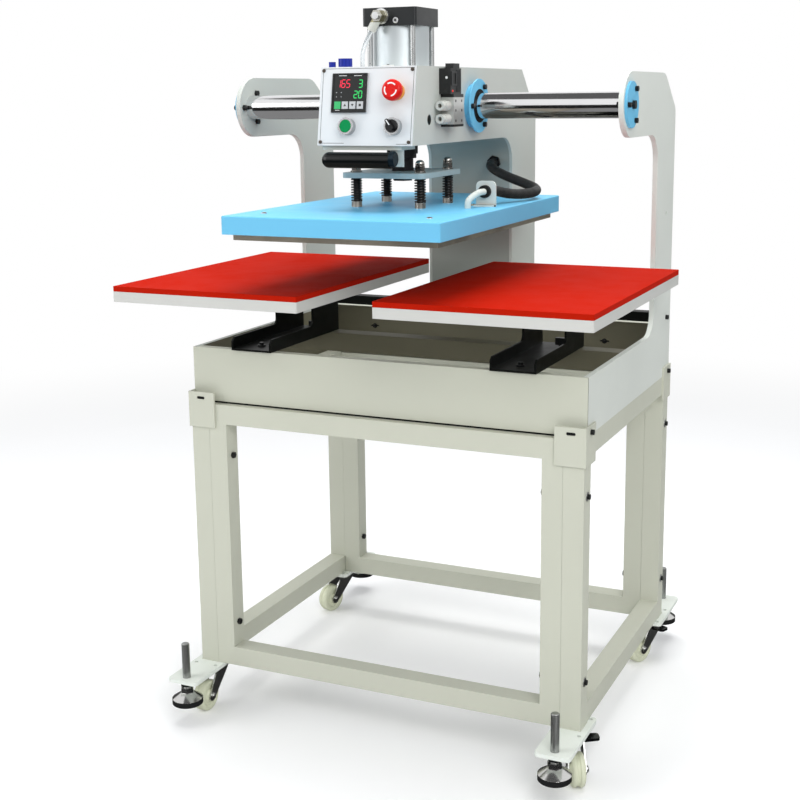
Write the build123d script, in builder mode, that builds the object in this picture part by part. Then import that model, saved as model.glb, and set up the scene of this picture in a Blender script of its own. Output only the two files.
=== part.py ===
"""Pneumatic heat press with one sliding head and two fixed stations, on a rolling stand.

Millimetres. +X to the operator's right, +Y away from the operator, +Z up from the floor.
The origin is on the floor under the middle of the machine.
"""
import os
from math import atan2, cos, degrees, pi, radians, sin, sqrt, tan

from build123d import *

os.makedirs("parts", exist_ok=True)


def save(piece, name):
    """Label a finished piece and write it as its own STEP file."""
    piece.label = name
    export_step(piece, f"parts/{name}.step")


# Fits and clearances
running_fit = 0.05
seat_gap = 0.3
loose_fit = 0.3

# Stand: four welded frames of square tube on foot plates
stand_width = 830.0
stand_depth = 628.0
stand_front_y = -284.0
tube_size = 40.0
tube_wall = 2.0
leg_bottom_z = 100.0
side_frame_height = 562.0
cross_frame_drop = 4.0
frame_seam = 0.3
leg_screw_rise = 90.0
leg_screw_drop = 112.0

# Foot plates, levelling feet and casters
foot_plate_width = 68.0
foot_plate_length = 176.0
foot_plate_thickness = 8.0
foot_plate_corner = 9.0
foot_plate_overhang = 14.0
foot_plate_reach = 110.0
levelling_reach = 90.0
stud_diameter = 16.0
stud_rise = 74.0
foot_diameter = 63.0
foot_bottom_z = 44.0
foot_sole_height = 9.0
foot_rim_height = 3.0
foot_cone_height = 12.0
foot_neck_diameter = 27.0
foot_hex_across = 24.0
foot_hex_height = 11.0
lock_nut_height = 9.0
swivel_inset = 19.0
caster_bolt_x = 47.0
caster_bolt_y = 74.0
caster_bolt_diameter = 8.0
caster_plate_width = 62.0
caster_plate_length = 92.0
caster_plate_thickness = 2.5
caster_race_diameter = 44.0
caster_race_height = 6.0
wheel_diameter = 65.0
wheel_width = 26.0
wheel_shoulder = 5.0
wheel_groove_width = 4.0
wheel_groove_depth = 2.0
wheel_recess = 3.0
wheel_hub_diameter = 22.0
axle_diameter = 8.0
caster_trail = 42.0
fork_sheet = 3.0
fork_boss_radius = 11.0
fork_crown_radius = 22.0
rivet_radius = 6.8
rivet_height = 3.0

# Tray, end plates and slide bar
tray_height = 109.0
tray_setback = 14.5
tray_sheet = 3.0
tray_flange = 18.0
end_plate_thickness = 10.0
column_depth = 146.0
column_flare = 45.0
arm_underside_radius = 55.0
bar_diameter = 50.0
bar_y = -24.0
bar_rise = 473.8
bar_spigot_radius = 15.0
nose_y = -11.0
nose_radius = 61.5
arm_back_chamfer_y = 97.0
arm_back_chamfer_z = 73.0
arm_top_rounding = 60.0
arm_back_rounding = 20.0
column_hole_rise = 245.0
column_hole_inset = 60.0
end_flange_radius = 43.5
end_flange_thickness = 5.0
end_bolt_circle = 34.0
end_nut_radius = 6.5
end_bolt_radius = 8.0
bearing_flange_radius = 52.0
bearing_flange_thickness = 3.0
bearing_bolt_circle = 42.0
bolt_angles = (60.0, 180.0, 300.0)
socket_head_diameter = 10.0
socket_head_height = 6.0
bracket_width = 60.0
bracket_height = 73.0
bracket_sheet = 4.0
cross_rail_size = 40.0
guide_rail_depth = 30.0
guide_rail_height = 21.0
guide_rail_rise = 9.0
guide_rail_y = 306.0

# Stations: channel supports, lower platens, silicone pads
station_x = 275.0
platen_width = 400.0
platen_length = 600.0
platen_center_y = -144.7
platen_thickness = 20.0
platen_corner = 3.0
pad_thickness = 10.0
channel_width = 90.0
channel_sheet = 4.0
channel_front_y = -276.0
channel_back_y = -4.0
channel_wall_height = 26.0
channel_rise_y = -99.0
platen_rise = 114.0

# Press head
head_width = 194.0
head_sheet = 6.0
cover_sheet = 3.0
head_bottom_drop = 67.3
head_top_rise = 73.7
panel_bottom_y = -312.8
panel_top_y = -289.9
head_inner_radius = 52.0
head_column_front_y = 207.5
head_column_depth = 152.0
head_column_gap = 5.0
head_chamfer_y = 92.0
head_chamfer_z = 97.0
liner_sheet = 4.0
bearing_stand_off = 13.0
bearing_sleeve_radius = 36.0
roller_radius = 12.0
roller_width = 24.0

# Air cylinder and ram
cap_size = 110.0
cap_height = 33.0
cap_corner = 6.0
barrel_outer = 106.0
barrel_bore = 100.0
cylinder_rise = 108.5
tie_rod_offset = 44.0
tie_rod_diameter = 10.0
rod_diameter = 25.0
piston_height = 25.0
stroke = 98.0
nose_flange_radius = 30.0
nose_flange_height = 21.0
nose_collar_radius = 27.0
nose_collar_height = 8.5
coupler_radius = 21.0
coupler_height = 23.0

# Spring plate, bolts and springs
spring_plate_width = 170.0
spring_plate_length = 192.0
spring_plate_thickness = 10.0
spring_plate_corner = 12.0
spring_plate_rise = 56.0
spring_bolt_x = 66.5
spring_bolt_y = 67.0
spring_bolt_diameter = 12.0
bush_diameter = 20.0
bush_height = 10.0
spring_nut_radius = 10.0
spring_nut_height = 10.0
spring_washer_height = 2.5
dome_radius = 8.5
dome_height = 11.0
spring_wire = 3.0
spring_outer = 22.0
spring_turns = 7

# Upper platen
cover_width = 428.0
cover_length = 640.0
cover_height = 33.5
cover_rise = 11.5
cover_wall = 3.0
heater_width = 404.0
heater_length = 602.0

# Values that follow from the ones above
half_width = stand_width / 2
stand_back_y = stand_front_y + stand_depth
stand_middle_y = (stand_front_y + stand_back_y) / 2
side_frame_top_z = leg_bottom_z + side_frame_height
cross_frame_height = side_frame_height - cross_frame_drop
stud_top_z = leg_bottom_z + stud_rise
side_post_x = half_width - tube_size / 2
cross_post_x = side_post_x - tube_size - frame_seam
foot_plate_bottom_z = leg_bottom_z - foot_plate_thickness
tray_front_y = stand_front_y + tray_setback
tray_bottom_z = side_frame_top_z
tray_top_z = tray_bottom_z + tray_height
bar_z = tray_top_z + bar_rise
guide_rail_bottom_z = tray_top_z + guide_rail_rise
guide_rail_top_z = guide_rail_bottom_z + guide_rail_height
lower_platen_bottom_z = tray_top_z + platen_rise
pad_bottom_z = lower_platen_bottom_z + platen_thickness
heater_bottom_z = pad_bottom_z + pad_thickness + stroke
head_bottom_z = bar_z - head_bottom_drop
head_top_z = bar_z + head_top_rise
head_column_bottom_z = guide_rail_top_z + head_column_gap
cylinder_top_z = head_top_z + cylinder_rise
column_front_y = stand_back_y - column_depth
inner_x = half_width - end_plate_thickness
head_half = head_width / 2
head_inner_half = head_half - head_sheet
cover_bottom_z = heater_bottom_z + cover_rise
cover_top_z = cover_bottom_z + cover_height
spring_plate_bottom_z = cover_top_z + spring_plate_rise
spring_plate_top_z = spring_plate_bottom_z + spring_plate_thickness
foot_x = half_width + foot_plate_overhang - foot_plate_width / 2
cap_bottom_z = cylinder_top_z - cap_height
lower_cap_bottom_z = head_bottom_z + liner_sheet
lower_cap_top_z = lower_cap_bottom_z + cap_height
corners = [(sx, sy) for sx in (-1, 1) for sy in (-1, 1)]


def corner_y(sy, inset):
    """Distance inset from the front (sy -1) or the back (sy 1) of the stand, inwards when positive."""
    return stand_front_y + inset if sy < 0 else stand_back_y - inset


def corner_at(sketch, u, v):
    """The corner of a sketch that lies at the given place in its plane."""
    return sketch.vertices().sort_by_distance((u, v, 0))[0]


def frame_outline(length, height):
    """Side view of a welded tube rectangle, drawn round its middle."""
    Rectangle(length, height)
    Rectangle(length - 2 * tube_size, height - 2 * tube_size, mode=Mode.SUBTRACT)


def frame_bore(length, height):
    """Side view of the hollow that runs round inside a welded tube rectangle."""
    Rectangle(length - 2 * tube_wall, height - 2 * tube_wall)
    hole = 2 * tube_size - 2 * tube_wall
    Rectangle(length - hole, height - hole, mode=Mode.SUBTRACT)


# Side frames: closed rectangles of tube in the YZ plane, on the outside of the stand
bore_size = tube_size - 2 * tube_wall
side_mid_z = leg_bottom_z + side_frame_height / 2
with BuildPart() as side_frames:
    for sx in (-1, 1):
        inner_face = sx * side_post_x - tube_size / 2
        with BuildSketch(Plane.YZ.offset(inner_face)):
            with Locations((stand_middle_y, side_mid_z)):
                frame_outline(stand_depth, side_frame_height)
        extrude(amount=tube_size)
        with BuildSketch(Plane.YZ.offset(inner_face + tube_wall)):
            with Locations((stand_middle_y, side_mid_z)):
                frame_bore(stand_depth, side_frame_height)
        extrude(amount=bore_size, mode=Mode.SUBTRACT)
    with BuildSketch(Plane.XY.offset(leg_bottom_z)):
        for sx, sy in corners:
            with Locations((sx * side_post_x, corner_y(sy, tube_size / 2))):
                Rectangle(bore_size, bore_size)
    extrude(amount=tube_wall, mode=Mode.SUBTRACT)
save(side_frames.part, "side_frames")

# Cross frames: the same rectangles in the XZ plane, between the side frames at the front and the back
cross_mid_z = leg_bottom_z + cross_frame_height / 2
cross_span = 2 * cross_post_x + tube_size
with BuildPart() as cross_frames:
    for sy in (-1, 1):
        rear_face = corner_y(sy, tube_size / 2) + tube_size / 2
        with BuildSketch(Plane.XZ.offset(-rear_face)):
            with Locations((0, cross_mid_z)):
                frame_outline(cross_span, cross_frame_height)
        extrude(amount=tube_size)
        with BuildSketch(Plane.XZ.offset(-rear_face + tube_wall)):
            with Locations((0, cross_mid_z)):
                frame_bore(cross_span, cross_frame_height)
        extrude(amount=bore_size, mode=Mode.SUBTRACT)
    with BuildSketch(Plane.XY.offset(leg_bottom_z)):
        for sx, sy in corners:
            with Locations((sx * cross_post_x, corner_y(sy, tube_size / 2))):
                Rectangle(bore_size, bore_size)
    extrude(amount=tube_wall, mode=Mode.SUBTRACT)
save(cross_frames.part, "cross_frames")

# Foot plates: flat bar under each corner, drilled for the caster and tapped for the levelling stud
stud_hole_radius = stud_diameter / 2 + loose_fit
with BuildPart() as foot_plates:
    with BuildSketch(Plane.XY.offset(foot_plate_bottom_z)):
        for sx, sy in corners:
            plate_y = corner_y(sy, foot_plate_length / 2 - foot_plate_reach)
            with Locations((sx * foot_x, plate_y)):
                RectangleRounded(foot_plate_width, foot_plate_length, foot_plate_corner)
            with Locations((sx * foot_x, corner_y(sy, -levelling_reach))):
                Circle(stud_hole_radius, mode=Mode.SUBTRACT)
            with Locations((sx * foot_x, corner_y(sy, swivel_inset))):
                with GridLocations(caster_bolt_x, caster_bolt_y, 2, 2):
                    Circle(caster_bolt_diameter / 2 + loose_fit, mode=Mode.SUBTRACT)
    extrude(amount=foot_plate_thickness)
save(foot_plates.part, "foot_plates")

# Caster mounts: pressed plate, bearing race and four bolts up into the foot plate
caster_plate_top_z = foot_plate_bottom_z
race_bottom_z = caster_plate_top_z - caster_plate_thickness - caster_race_height
bolt_head_height = 5.0
bolt_head_radius = 6.4
with BuildPart() as caster_mounts:
    with BuildSketch(Plane.XY.offset(caster_plate_top_z - caster_plate_thickness)):
        for sx, sy in corners:
            with Locations((sx * foot_x, corner_y(sy, swivel_inset))):
                RectangleRounded(caster_plate_width, caster_plate_length, foot_plate_corner)
    extrude(amount=caster_plate_thickness)
    with BuildSketch(Plane.XY.offset(race_bottom_z)):
        for sx, sy in corners:
            with Locations((sx * foot_x, corner_y(sy, swivel_inset))):
                Circle(caster_race_diameter / 2)
    extrude(amount=caster_race_height)
    with BuildSketch(Plane.XY.offset(caster_plate_top_z - caster_plate_thickness - bolt_head_height)):
        for sx, sy in corners:
            with Locations((sx * foot_x, corner_y(sy, swivel_inset))):
                with GridLocations(caster_bolt_x, caster_bolt_y, 2, 2):
                    RegularPolygon(bolt_head_radius, 6)
    extrude(amount=bolt_head_height)
    with BuildSketch(Plane.XY.offset(caster_plate_top_z)):
        for sx, sy in corners:
            with Locations((sx * foot_x, corner_y(sy, swivel_inset))):
                with GridLocations(caster_bolt_x, caster_bolt_y, 2, 2):
                    Circle(caster_bolt_diameter / 2)
    extrude(amount=foot_plate_thickness / 2)
save(caster_mounts.part, "caster_mounts")

# Levelling feet: threaded stud, hexagon, chromed cone with a rim, and a rubber sole
foot_names = {(-1, -1): "front_left", (1, -1): "front_right", (-1, 1): "rear_left", (1, 1): "rear_right"}
sole_top_z = foot_bottom_z + foot_sole_height
rim_top_z = sole_top_z + foot_rim_height
cone_top_z = rim_top_z + foot_cone_height
hex_top_z = cone_top_z + foot_hex_height
foot_radius = foot_diameter / 2
foot_edge = 1.0
stud_chamfer = 1.5
for (sx, sy), corner in foot_names.items():
    foot_y = corner_y(sy, -levelling_reach)
    with BuildPart() as foot:
        with BuildSketch(Plane.XZ.offset(-foot_y)):
            with BuildLine():
                Polyline(
                    (0, sole_top_z),
                    (foot_radius - foot_edge, sole_top_z),
                    (foot_radius, sole_top_z + foot_edge),
                    (foot_radius, rim_top_z),
                    (foot_neck_diameter / 2, cone_top_z),
                    (0, cone_top_z),
                    close=True,
                )
            make_face()
        revolve(axis=Axis((0, foot_y, 0), (0, 0, 1)))
        with BuildSketch(Plane.XY.offset(cone_top_z)):
            with Locations((0, foot_y)):
                RegularPolygon(foot_hex_across / 2, 6, major_radius=False)
        extrude(amount=foot_hex_height)
        with BuildSketch(Plane.XY.offset(hex_top_z)):
            with Locations((0, foot_y)):
                Circle(stud_diameter / 2)
        extrude(amount=stud_top_z - hex_top_z)
        chamfer(foot.edges().group_by(Axis.Z)[-1], stud_chamfer)
    with BuildPart() as sole:
        with BuildSketch(Plane.XY.offset(foot_bottom_z)):
            with Locations((0, foot_y)):
                Circle(foot_radius)
        extrude(amount=foot_sole_height)
        chamfer(sole.edges().group_by(Axis.Z)[0], foot_edge)
    placed = Location((sx * foot_x, 0, 0))
    save(Compound([placed * foot.part, placed * sole.part]), f"levelling_foot_{corner}")

# Lock nuts under the foot plates, run up the levelling studs
with BuildPart() as lock_nuts:
    with BuildSketch(Plane.XY.offset(foot_plate_bottom_z - lock_nut_height)):
        for sx, sy in corners:
            with Locations((sx * foot_x, corner_y(sy, -levelling_reach))):
                RegularPolygon(foot_hex_across / 2, 6, major_radius=False)
                Circle(stud_diameter / 2 + running_fit, mode=Mode.SUBTRACT)
    extrude(amount=lock_nut_height)

# Casters: pressed fork that swivels under its race, riveted axle, nylon wheel.
# Each heading is the way the wheel trails, in degrees from straight ahead, positive to the right.
caster_headings = {"front_left": 0.0, "front_right": 28.0, "rear_left": -17.0, "rear_right": -24.0}
axle_z = wheel_diameter / 2
fork_top_z = race_bottom_z - seat_gap
wheel_side_gap = 1.5
fork_gap = wheel_width + 2 * wheel_side_gap
hub_clearance = 0.5
for (sx, sy), corner in foot_names.items():
    swivel = Location((sx * foot_x, corner_y(sy, swivel_inset), 0), (0, 0, caster_headings[corner]))
    with BuildPart() as fork:
        with BuildSketch(Plane.YZ.offset(-fork_gap / 2 - fork_sheet)):
            with BuildLine():
                boss = fork_boss_radius
                lean = atan2(fork_top_z - axle_z, caster_trail + fork_crown_radius)
                front_edge = Line((-fork_crown_radius, fork_top_z), (-caster_trail - boss, axle_z))
                boss_arc = ThreePointArc(
                    front_edge @ 1,
                    (-caster_trail, axle_z - boss),
                    (-caster_trail + boss * sin(lean), axle_z - boss * cos(lean)),
                )
                Polyline(
                    boss_arc @ 1,
                    (fork_crown_radius, fork_top_z - 2 * fork_sheet),
                    (fork_crown_radius, fork_top_z),
                    (-fork_crown_radius, fork_top_z),
                )
            make_face()
        extrude(amount=fork_sheet)
        mirror(about=Plane.YZ)
        with BuildSketch(Plane.XY.offset(fork_top_z - fork_sheet)):
            Circle(fork_crown_radius)
            Rectangle(fork_gap + 2 * fork_sheet, 2 * fork_crown_radius, mode=Mode.INTERSECT)
        extrude(amount=fork_sheet)
        with BuildSketch(Plane.YZ.offset(-fork_gap / 2 - fork_sheet)):
            with Locations((-caster_trail, axle_z)):
                Circle(axle_diameter / 2)
        extrude(amount=fork_gap + 2 * fork_sheet)
        for rivet_start in (fork_gap / 2 + fork_sheet, -fork_gap / 2 - fork_sheet - rivet_height):
            with BuildSketch(Plane.YZ.offset(rivet_start)):
                with Locations((-caster_trail, axle_z)):
                    Circle(rivet_radius)
            extrude(amount=rivet_height)
    save(swivel * fork.part, f"caster_fork_{corner}")

    with BuildPart() as wheel:
        with BuildSketch(Plane.XY):
            with BuildLine():
                r_out = wheel_diameter / 2
                half = wheel_width / 2
                hub_half = fork_gap / 2 - hub_clearance
                bore = axle_diameter / 2 + running_fit
                hub_radius = wheel_hub_diameter / 2
                rim_radius = r_out - 2 * wheel_shoulder
                half_outline = [
                    (hub_half, bore),
                    (hub_half, hub_radius),
                    (half - wheel_recess, hub_radius + wheel_recess),
                    (half - wheel_recess, rim_radius - wheel_recess / 2),
                    (half - wheel_recess / 2, rim_radius),
                    (half, r_out - wheel_shoulder),
                    (half - wheel_shoulder / 3, r_out - wheel_shoulder / 3),
                    (half - wheel_shoulder, r_out),
                    (wheel_groove_width / 2 + wheel_groove_depth, r_out),
                    (wheel_groove_width / 2, r_out - wheel_groove_depth),
                ]
                mirrored = [(-x, r) for x, r in reversed(half_outline)]
                Polyline(*half_outline, *mirrored, close=True)
            make_face()
        revolve(axis=Axis.X)
    save(swivel * Location((0, -caster_trail, axle_z)) * wheel.part, f"caster_wheel_{corner}")

# Brake pedals on the two right-hand casters, hinged outside the right cheek of the fork
pedal_width = 22.0
pedal_reach = 27.0
pedal_tip_height = 5.0
pedal_pin_radius = 3.5
pedal_set_back = 8.0
pedal_pin_drop = 2.0
pedal_pin_x = fork_gap / 2 + fork_sheet + seat_gap + pedal_pin_radius
pedal_pin_z = fork_top_z - pedal_pin_radius - pedal_pin_drop
for corner, (sx, sy) in (("front_right", (1, -1)), ("rear_right", (1, 1))):
    swivel = Location((sx * foot_x, corner_y(sy, swivel_inset), 0), (0, 0, caster_headings[corner]))
    with BuildPart() as pedal:
        with BuildSketch(Plane.XZ.offset(pedal_set_back - pedal_width / 2)):
            with Locations((pedal_pin_x, pedal_pin_z)):
                Circle(pedal_pin_radius)
            with BuildLine():
                Polyline(
                    (pedal_pin_x, pedal_pin_z + pedal_pin_radius),
                    (pedal_pin_x + pedal_reach, pedal_pin_z + pedal_pin_radius),
                    (pedal_pin_x + pedal_reach, pedal_pin_z + pedal_pin_radius - pedal_tip_height),
                    (pedal_pin_x, pedal_pin_z - pedal_pin_radius),
                    close=True,
                )
            make_face()
        extrude(amount=pedal_width)
        outer_corners = pedal.edges().filter_by(Axis.Z).sort_by(Axis.X)[-2:]
        fillet(outer_corners, pedal_tip_height)
    save(swivel * pedal.part, f"brake_pedal_{corner}")

# End plates: tray side, rear column and bar arm cut from one plate
arm_bottom_z = bar_z - nose_radius
arm_top_z = bar_z + nose_radius
column_hole_radius = 5.0
for side, sx in (("left", -1), ("right", 1)):
    with BuildPart() as end_plate:
        with BuildSketch(Plane.YZ.offset(inner_x if sx > 0 else -half_width)) as outline:
            with BuildLine():
                nose_top = (nose_y, arm_top_z)
                nose_bottom = (nose_y, arm_bottom_z)
                Polyline(
                    nose_top,
                    (stand_back_y - arm_back_chamfer_y, arm_top_z),
                    (stand_back_y, arm_top_z - arm_back_chamfer_z),
                    (stand_back_y, tray_bottom_z),
                    (tray_front_y + tray_sheet, tray_bottom_z),
                    (tray_front_y + tray_sheet, tray_top_z),
                    (column_front_y, tray_top_z),
                    (column_front_y, arm_bottom_z),
                    nose_bottom,
                )
                ThreePointArc(nose_bottom, (nose_y - nose_radius, bar_z), nose_top)
            make_face()
            fillet(corner_at(outline, column_front_y, tray_top_z), column_flare)
            fillet(corner_at(outline, column_front_y, arm_bottom_z), arm_underside_radius)
            fillet(corner_at(outline, stand_back_y - arm_back_chamfer_y, arm_top_z), arm_top_rounding)
            fillet(corner_at(outline, stand_back_y, arm_top_z - arm_back_chamfer_z), arm_back_rounding)
            with Locations((bar_y, bar_z)):
                Circle(bar_spigot_radius, mode=Mode.SUBTRACT)
            with Locations((stand_back_y - column_hole_inset, tray_top_z + column_hole_rise)):
                Circle(column_hole_radius, mode=Mode.SUBTRACT)
        extrude(amount=end_plate_thickness)
    save(end_plate.part, f"end_plate_{side}")

# Slide bar: ground shaft butted between the end plates on two turned-down ends
with BuildPart() as slide_bar:
    with BuildSketch(Plane.YZ.offset(-inner_x)):
        with Locations((bar_y, bar_z)):
            Circle(bar_diameter / 2)
    extrude(amount=2 * inner_x)
    with BuildSketch(Plane.YZ.offset(-half_width)):
        with Locations((bar_y, bar_z)):
            Circle(bar_spigot_radius - running_fit)
    extrude(amount=stand_width)
save(slide_bar.part, "slide_bar")

# End flanges: painted discs that clamp the bar against the end plates
with BuildPart() as end_flanges:
    for start in (-half_width - end_flange_thickness, half_width):
        with BuildSketch(Plane.YZ.offset(start)):
            with Locations((bar_y, bar_z)):
                Circle(end_flange_radius)
        extrude(amount=end_flange_thickness)
save(end_flanges.part, "end_flanges")

# Tray front and rear: folded sheet between or over the end plates
with BuildPart() as tray_front:
    with BuildSketch(Plane.YZ.offset(-half_width)):
        with BuildLine():
            Polyline(
                (tray_front_y, tray_bottom_z),
                (tray_front_y, tray_top_z),
                (tray_front_y + tray_flange, tray_top_z),
                (tray_front_y + tray_flange, tray_top_z - tray_sheet),
                (tray_front_y + tray_sheet, tray_top_z - tray_sheet),
                (tray_front_y + tray_sheet, tray_bottom_z + tray_sheet),
                (tray_front_y + tube_size, tray_bottom_z + tray_sheet),
                (tray_front_y + tube_size, tray_bottom_z),
                close=True,
            )
        make_face()
    extrude(amount=stand_width)
    for sx in (-1, 1):
        with BuildSketch(Plane.YZ.offset(inner_x - seat_gap if sx > 0 else -half_width)):
            with Locations((tray_front_y + tray_sheet, tray_bottom_z)):
                Rectangle(tube_size, tray_height, align=(Align.MIN, Align.MIN))
        extrude(amount=end_plate_thickness + seat_gap, mode=Mode.SUBTRACT)
save(tray_front.part, "tray_front")

rear_slot_length = 22.0
rear_slot_width = 4.0
rear_slot_z = tray_top_z - 49
rear_slot_left_x = -station_x - 25
rear_slot_right_x = station_x - 5
with BuildPart() as tray_rear:
    with BuildSketch(Plane.YZ.offset(-inner_x + seat_gap)):
        with BuildLine():
            Polyline(
                (stand_back_y, tray_bottom_z),
                (stand_back_y, tray_top_z),
                (stand_back_y - tray_flange, tray_top_z),
                (stand_back_y - tray_flange, tray_top_z - tray_sheet),
                (stand_back_y - tray_sheet, tray_top_z - tray_sheet),
                (stand_back_y - tray_sheet, tray_bottom_z + tray_sheet),
                (stand_back_y - tube_size, tray_bottom_z + tray_sheet),
                (stand_back_y - tube_size, tray_bottom_z),
                close=True,
            )
        make_face()
    extrude(amount=2 * (inner_x - seat_gap))
    with BuildSketch(Plane.XZ.offset(-stand_back_y)):
        with Locations((rear_slot_left_x, rear_slot_z), (rear_slot_right_x, rear_slot_z)):
            SlotOverall(rear_slot_length, rear_slot_width)
    extrude(amount=tray_sheet, mode=Mode.SUBTRACT)
save(tray_rear.part, "tray_rear")

# Cross rail: box section across the tray that carries the back of the channel supports
cross_rail_y = channel_back_y
with BuildPart() as cross_rail:
    with BuildSketch(Plane.YZ.offset(-inner_x + seat_gap)):
        with Locations((cross_rail_y, tray_top_z - cross_rail_size / 2)):
            Rectangle(cross_rail_size, cross_rail_size)
            Rectangle(cross_rail_size - 2 * tube_wall, cross_rail_size - 2 * tube_wall, mode=Mode.SUBTRACT)
    extrude(amount=2 * (inner_x - seat_gap))
save(cross_rail.part, "tray_cross_rail")

# Guide rail: dark bar across the back that the head's column rolls on
guide_rail_edge = 1.5
with BuildPart() as guide_rail:
    with BuildSketch(Plane.YZ.offset(-inner_x)):
        with Locations((guide_rail_y, guide_rail_bottom_z + guide_rail_height / 2)):
            Rectangle(guide_rail_depth, guide_rail_height)
    extrude(amount=2 * inner_x)
    chamfer(guide_rail.edges().filter_by(Axis.X), guide_rail_edge)
save(guide_rail.part, "guide_rail")

# Corner brackets: folded angles that tie the tray to the stand, each with one slot
bracket_lap = 20.0
bracket_bottom_z = side_frame_top_z - bracket_height + bracket_lap
bracket_slot_length = 18.0
bracket_slot_width = 6.0
bracket_slot_inset = 25.0
bracket_slot_z = tray_bottom_z + 8
slot_x = half_width - bracket_slot_inset
with BuildPart() as corner_brackets:
    for sx, sy in corners:
        face_y = corner_y(sy, 0)
        outer_x = sx * (half_width + bracket_sheet)
        inner_edge_x = sx * (half_width - bracket_width + bracket_sheet)
        front_face = face_y + sy * bracket_sheet
        back_edge_y = face_y - sy * (bracket_width - bracket_sheet)
        with BuildSketch(Plane.XY.offset(bracket_bottom_z)):
            with BuildLine():
                Polyline(
                    (outer_x, front_face),
                    (inner_edge_x, front_face),
                    (inner_edge_x, face_y),
                    (sx * half_width, face_y),
                    (sx * half_width, back_edge_y),
                    (outer_x, back_edge_y),
                    close=True,
                )
            make_face()
        extrude(amount=bracket_height)
    with BuildSketch(Plane.XZ.offset(-stand_back_y - bracket_width)):
        with Locations((-slot_x, bracket_slot_z), (slot_x, bracket_slot_z)):
            SlotOverall(bracket_slot_length, bracket_slot_width)
    extrude(amount=stand_depth + 2 * bracket_width, mode=Mode.SUBTRACT)
save(corner_brackets.part, "corner_brackets")

# Channel supports: folded channels that carry the lower platens, high at the back, low and open in front
channel_top_z = lower_platen_bottom_z
channel_floor_z = tray_top_z
channel_nose = 8.0
channel_low_bend = 12.0
channel_high_bend = 16.0
channel_lip = 10.0
channel_end_y = channel_back_y + cross_rail_size / 2
bend_share = 1 - sin(pi / 4)
low_cut = channel_low_bend * bend_share
high_cut = channel_high_bend * bend_share
with BuildPart() as channels:
    for sx in (-1, 1):
        left_x = sx * station_x - channel_width / 2
        with BuildSketch(Plane.YZ.offset(left_x)) as wall_outline:
            with BuildLine():
                low_z = channel_floor_z + channel_wall_height
                Polyline(
                    (channel_front_y, channel_floor_z),
                    (channel_front_y, low_z - channel_nose),
                    (channel_front_y + channel_nose, low_z),
                    (channel_rise_y - channel_low_bend, low_z),
                )
                ThreePointArc(
                    (channel_rise_y - channel_low_bend, low_z),
                    (channel_rise_y - low_cut, low_z + low_cut),
                    (channel_rise_y, low_z + channel_low_bend),
                )
                lip_z = channel_top_z - channel_lip
                Line((channel_rise_y, low_z + channel_low_bend), (channel_rise_y, lip_z - channel_high_bend))
                ThreePointArc(
                    (channel_rise_y, lip_z - channel_high_bend),
                    (channel_rise_y + high_cut, lip_z - high_cut),
                    (channel_rise_y + channel_high_bend, lip_z),
                )
                Polyline(
                    (channel_rise_y + channel_high_bend, lip_z),
                    (channel_rise_y + channel_high_bend, channel_top_z),
                    (channel_end_y, channel_top_z),
                    (channel_end_y, channel_floor_z),
                    (channel_front_y, channel_floor_z),
                )
            make_face()
        extrude(amount=channel_width)
        with BuildSketch(Plane.YZ.offset(left_x + channel_sheet)):
            with BuildLine():
                Polyline(
                    (channel_front_y - channel_sheet, channel_floor_z + channel_sheet),
                    (channel_front_y - channel_sheet, channel_top_z - channel_sheet),
                    (channel_end_y + channel_sheet, channel_top_z - channel_sheet),
                    (channel_end_y + channel_sheet, channel_floor_z + channel_sheet),
                    close=True,
                )
            make_face()
        extrude(amount=channel_width - 2 * channel_sheet, mode=Mode.SUBTRACT)
save(channels.part, "channel_supports")

# Support screws and clamp knobs that hold the channels down and the platens on
support_washer_height = 3.0
support_head_height = 5.0
support_screw_inset = 42.0
clamp_inset = 40.0
clamp_shift = 18.0
clamp_wing_length = 26.0
clamp_wing_width = 10.0
clamp_wing_height = 14.0
washer_z = channel_floor_z + channel_sheet
head_z = washer_z + support_washer_height
wing_z = head_z + support_head_height
with BuildPart() as support_screws:
    for sx in (-1, 1):
        screw_spot = (sx * station_x, channel_front_y + support_screw_inset)
        clamp_spot = (sx * station_x + clamp_shift, channel_back_y - clamp_inset)
        with BuildSketch(Plane.XY.offset(washer_z)):
            with Locations(screw_spot, clamp_spot):
                Circle(socket_head_diameter * 0.8)
        extrude(amount=support_washer_height)
        with BuildSketch(Plane.XY.offset(head_z)):
            with Locations(screw_spot):
                RegularPolygon(socket_head_diameter / 2, 6)
            with Locations(clamp_spot):
                Circle(socket_head_diameter * 0.6)
        extrude(amount=support_head_height)
        with BuildSketch(Plane.XY.offset(wing_z)):
            with Locations(clamp_spot):
                RectangleRounded(clamp_wing_length, clamp_wing_width, clamp_wing_width * 0.4)
        extrude(amount=clamp_wing_height)

# Lower platens and their silicone pads, one of each a station
with BuildPart() as lower_platens:
    with BuildSketch(Plane.XY.offset(lower_platen_bottom_z)):
        with Locations((-station_x, platen_center_y), (station_x, platen_center_y)):
            RectangleRounded(platen_width, platen_length, platen_corner)
    extrude(amount=platen_thickness)
save(lower_platens.part, "lower_platens")

with BuildPart() as silicone_pads:
    with BuildSketch(Plane.XY.offset(pad_bottom_z)):
        with Locations((-station_x, platen_center_y), (station_x, platen_center_y)):
            RectangleRounded(platen_width, platen_length, platen_corner)
    extrude(amount=pad_thickness)
save(silicone_pads.part, "silicone_pads")

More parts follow.
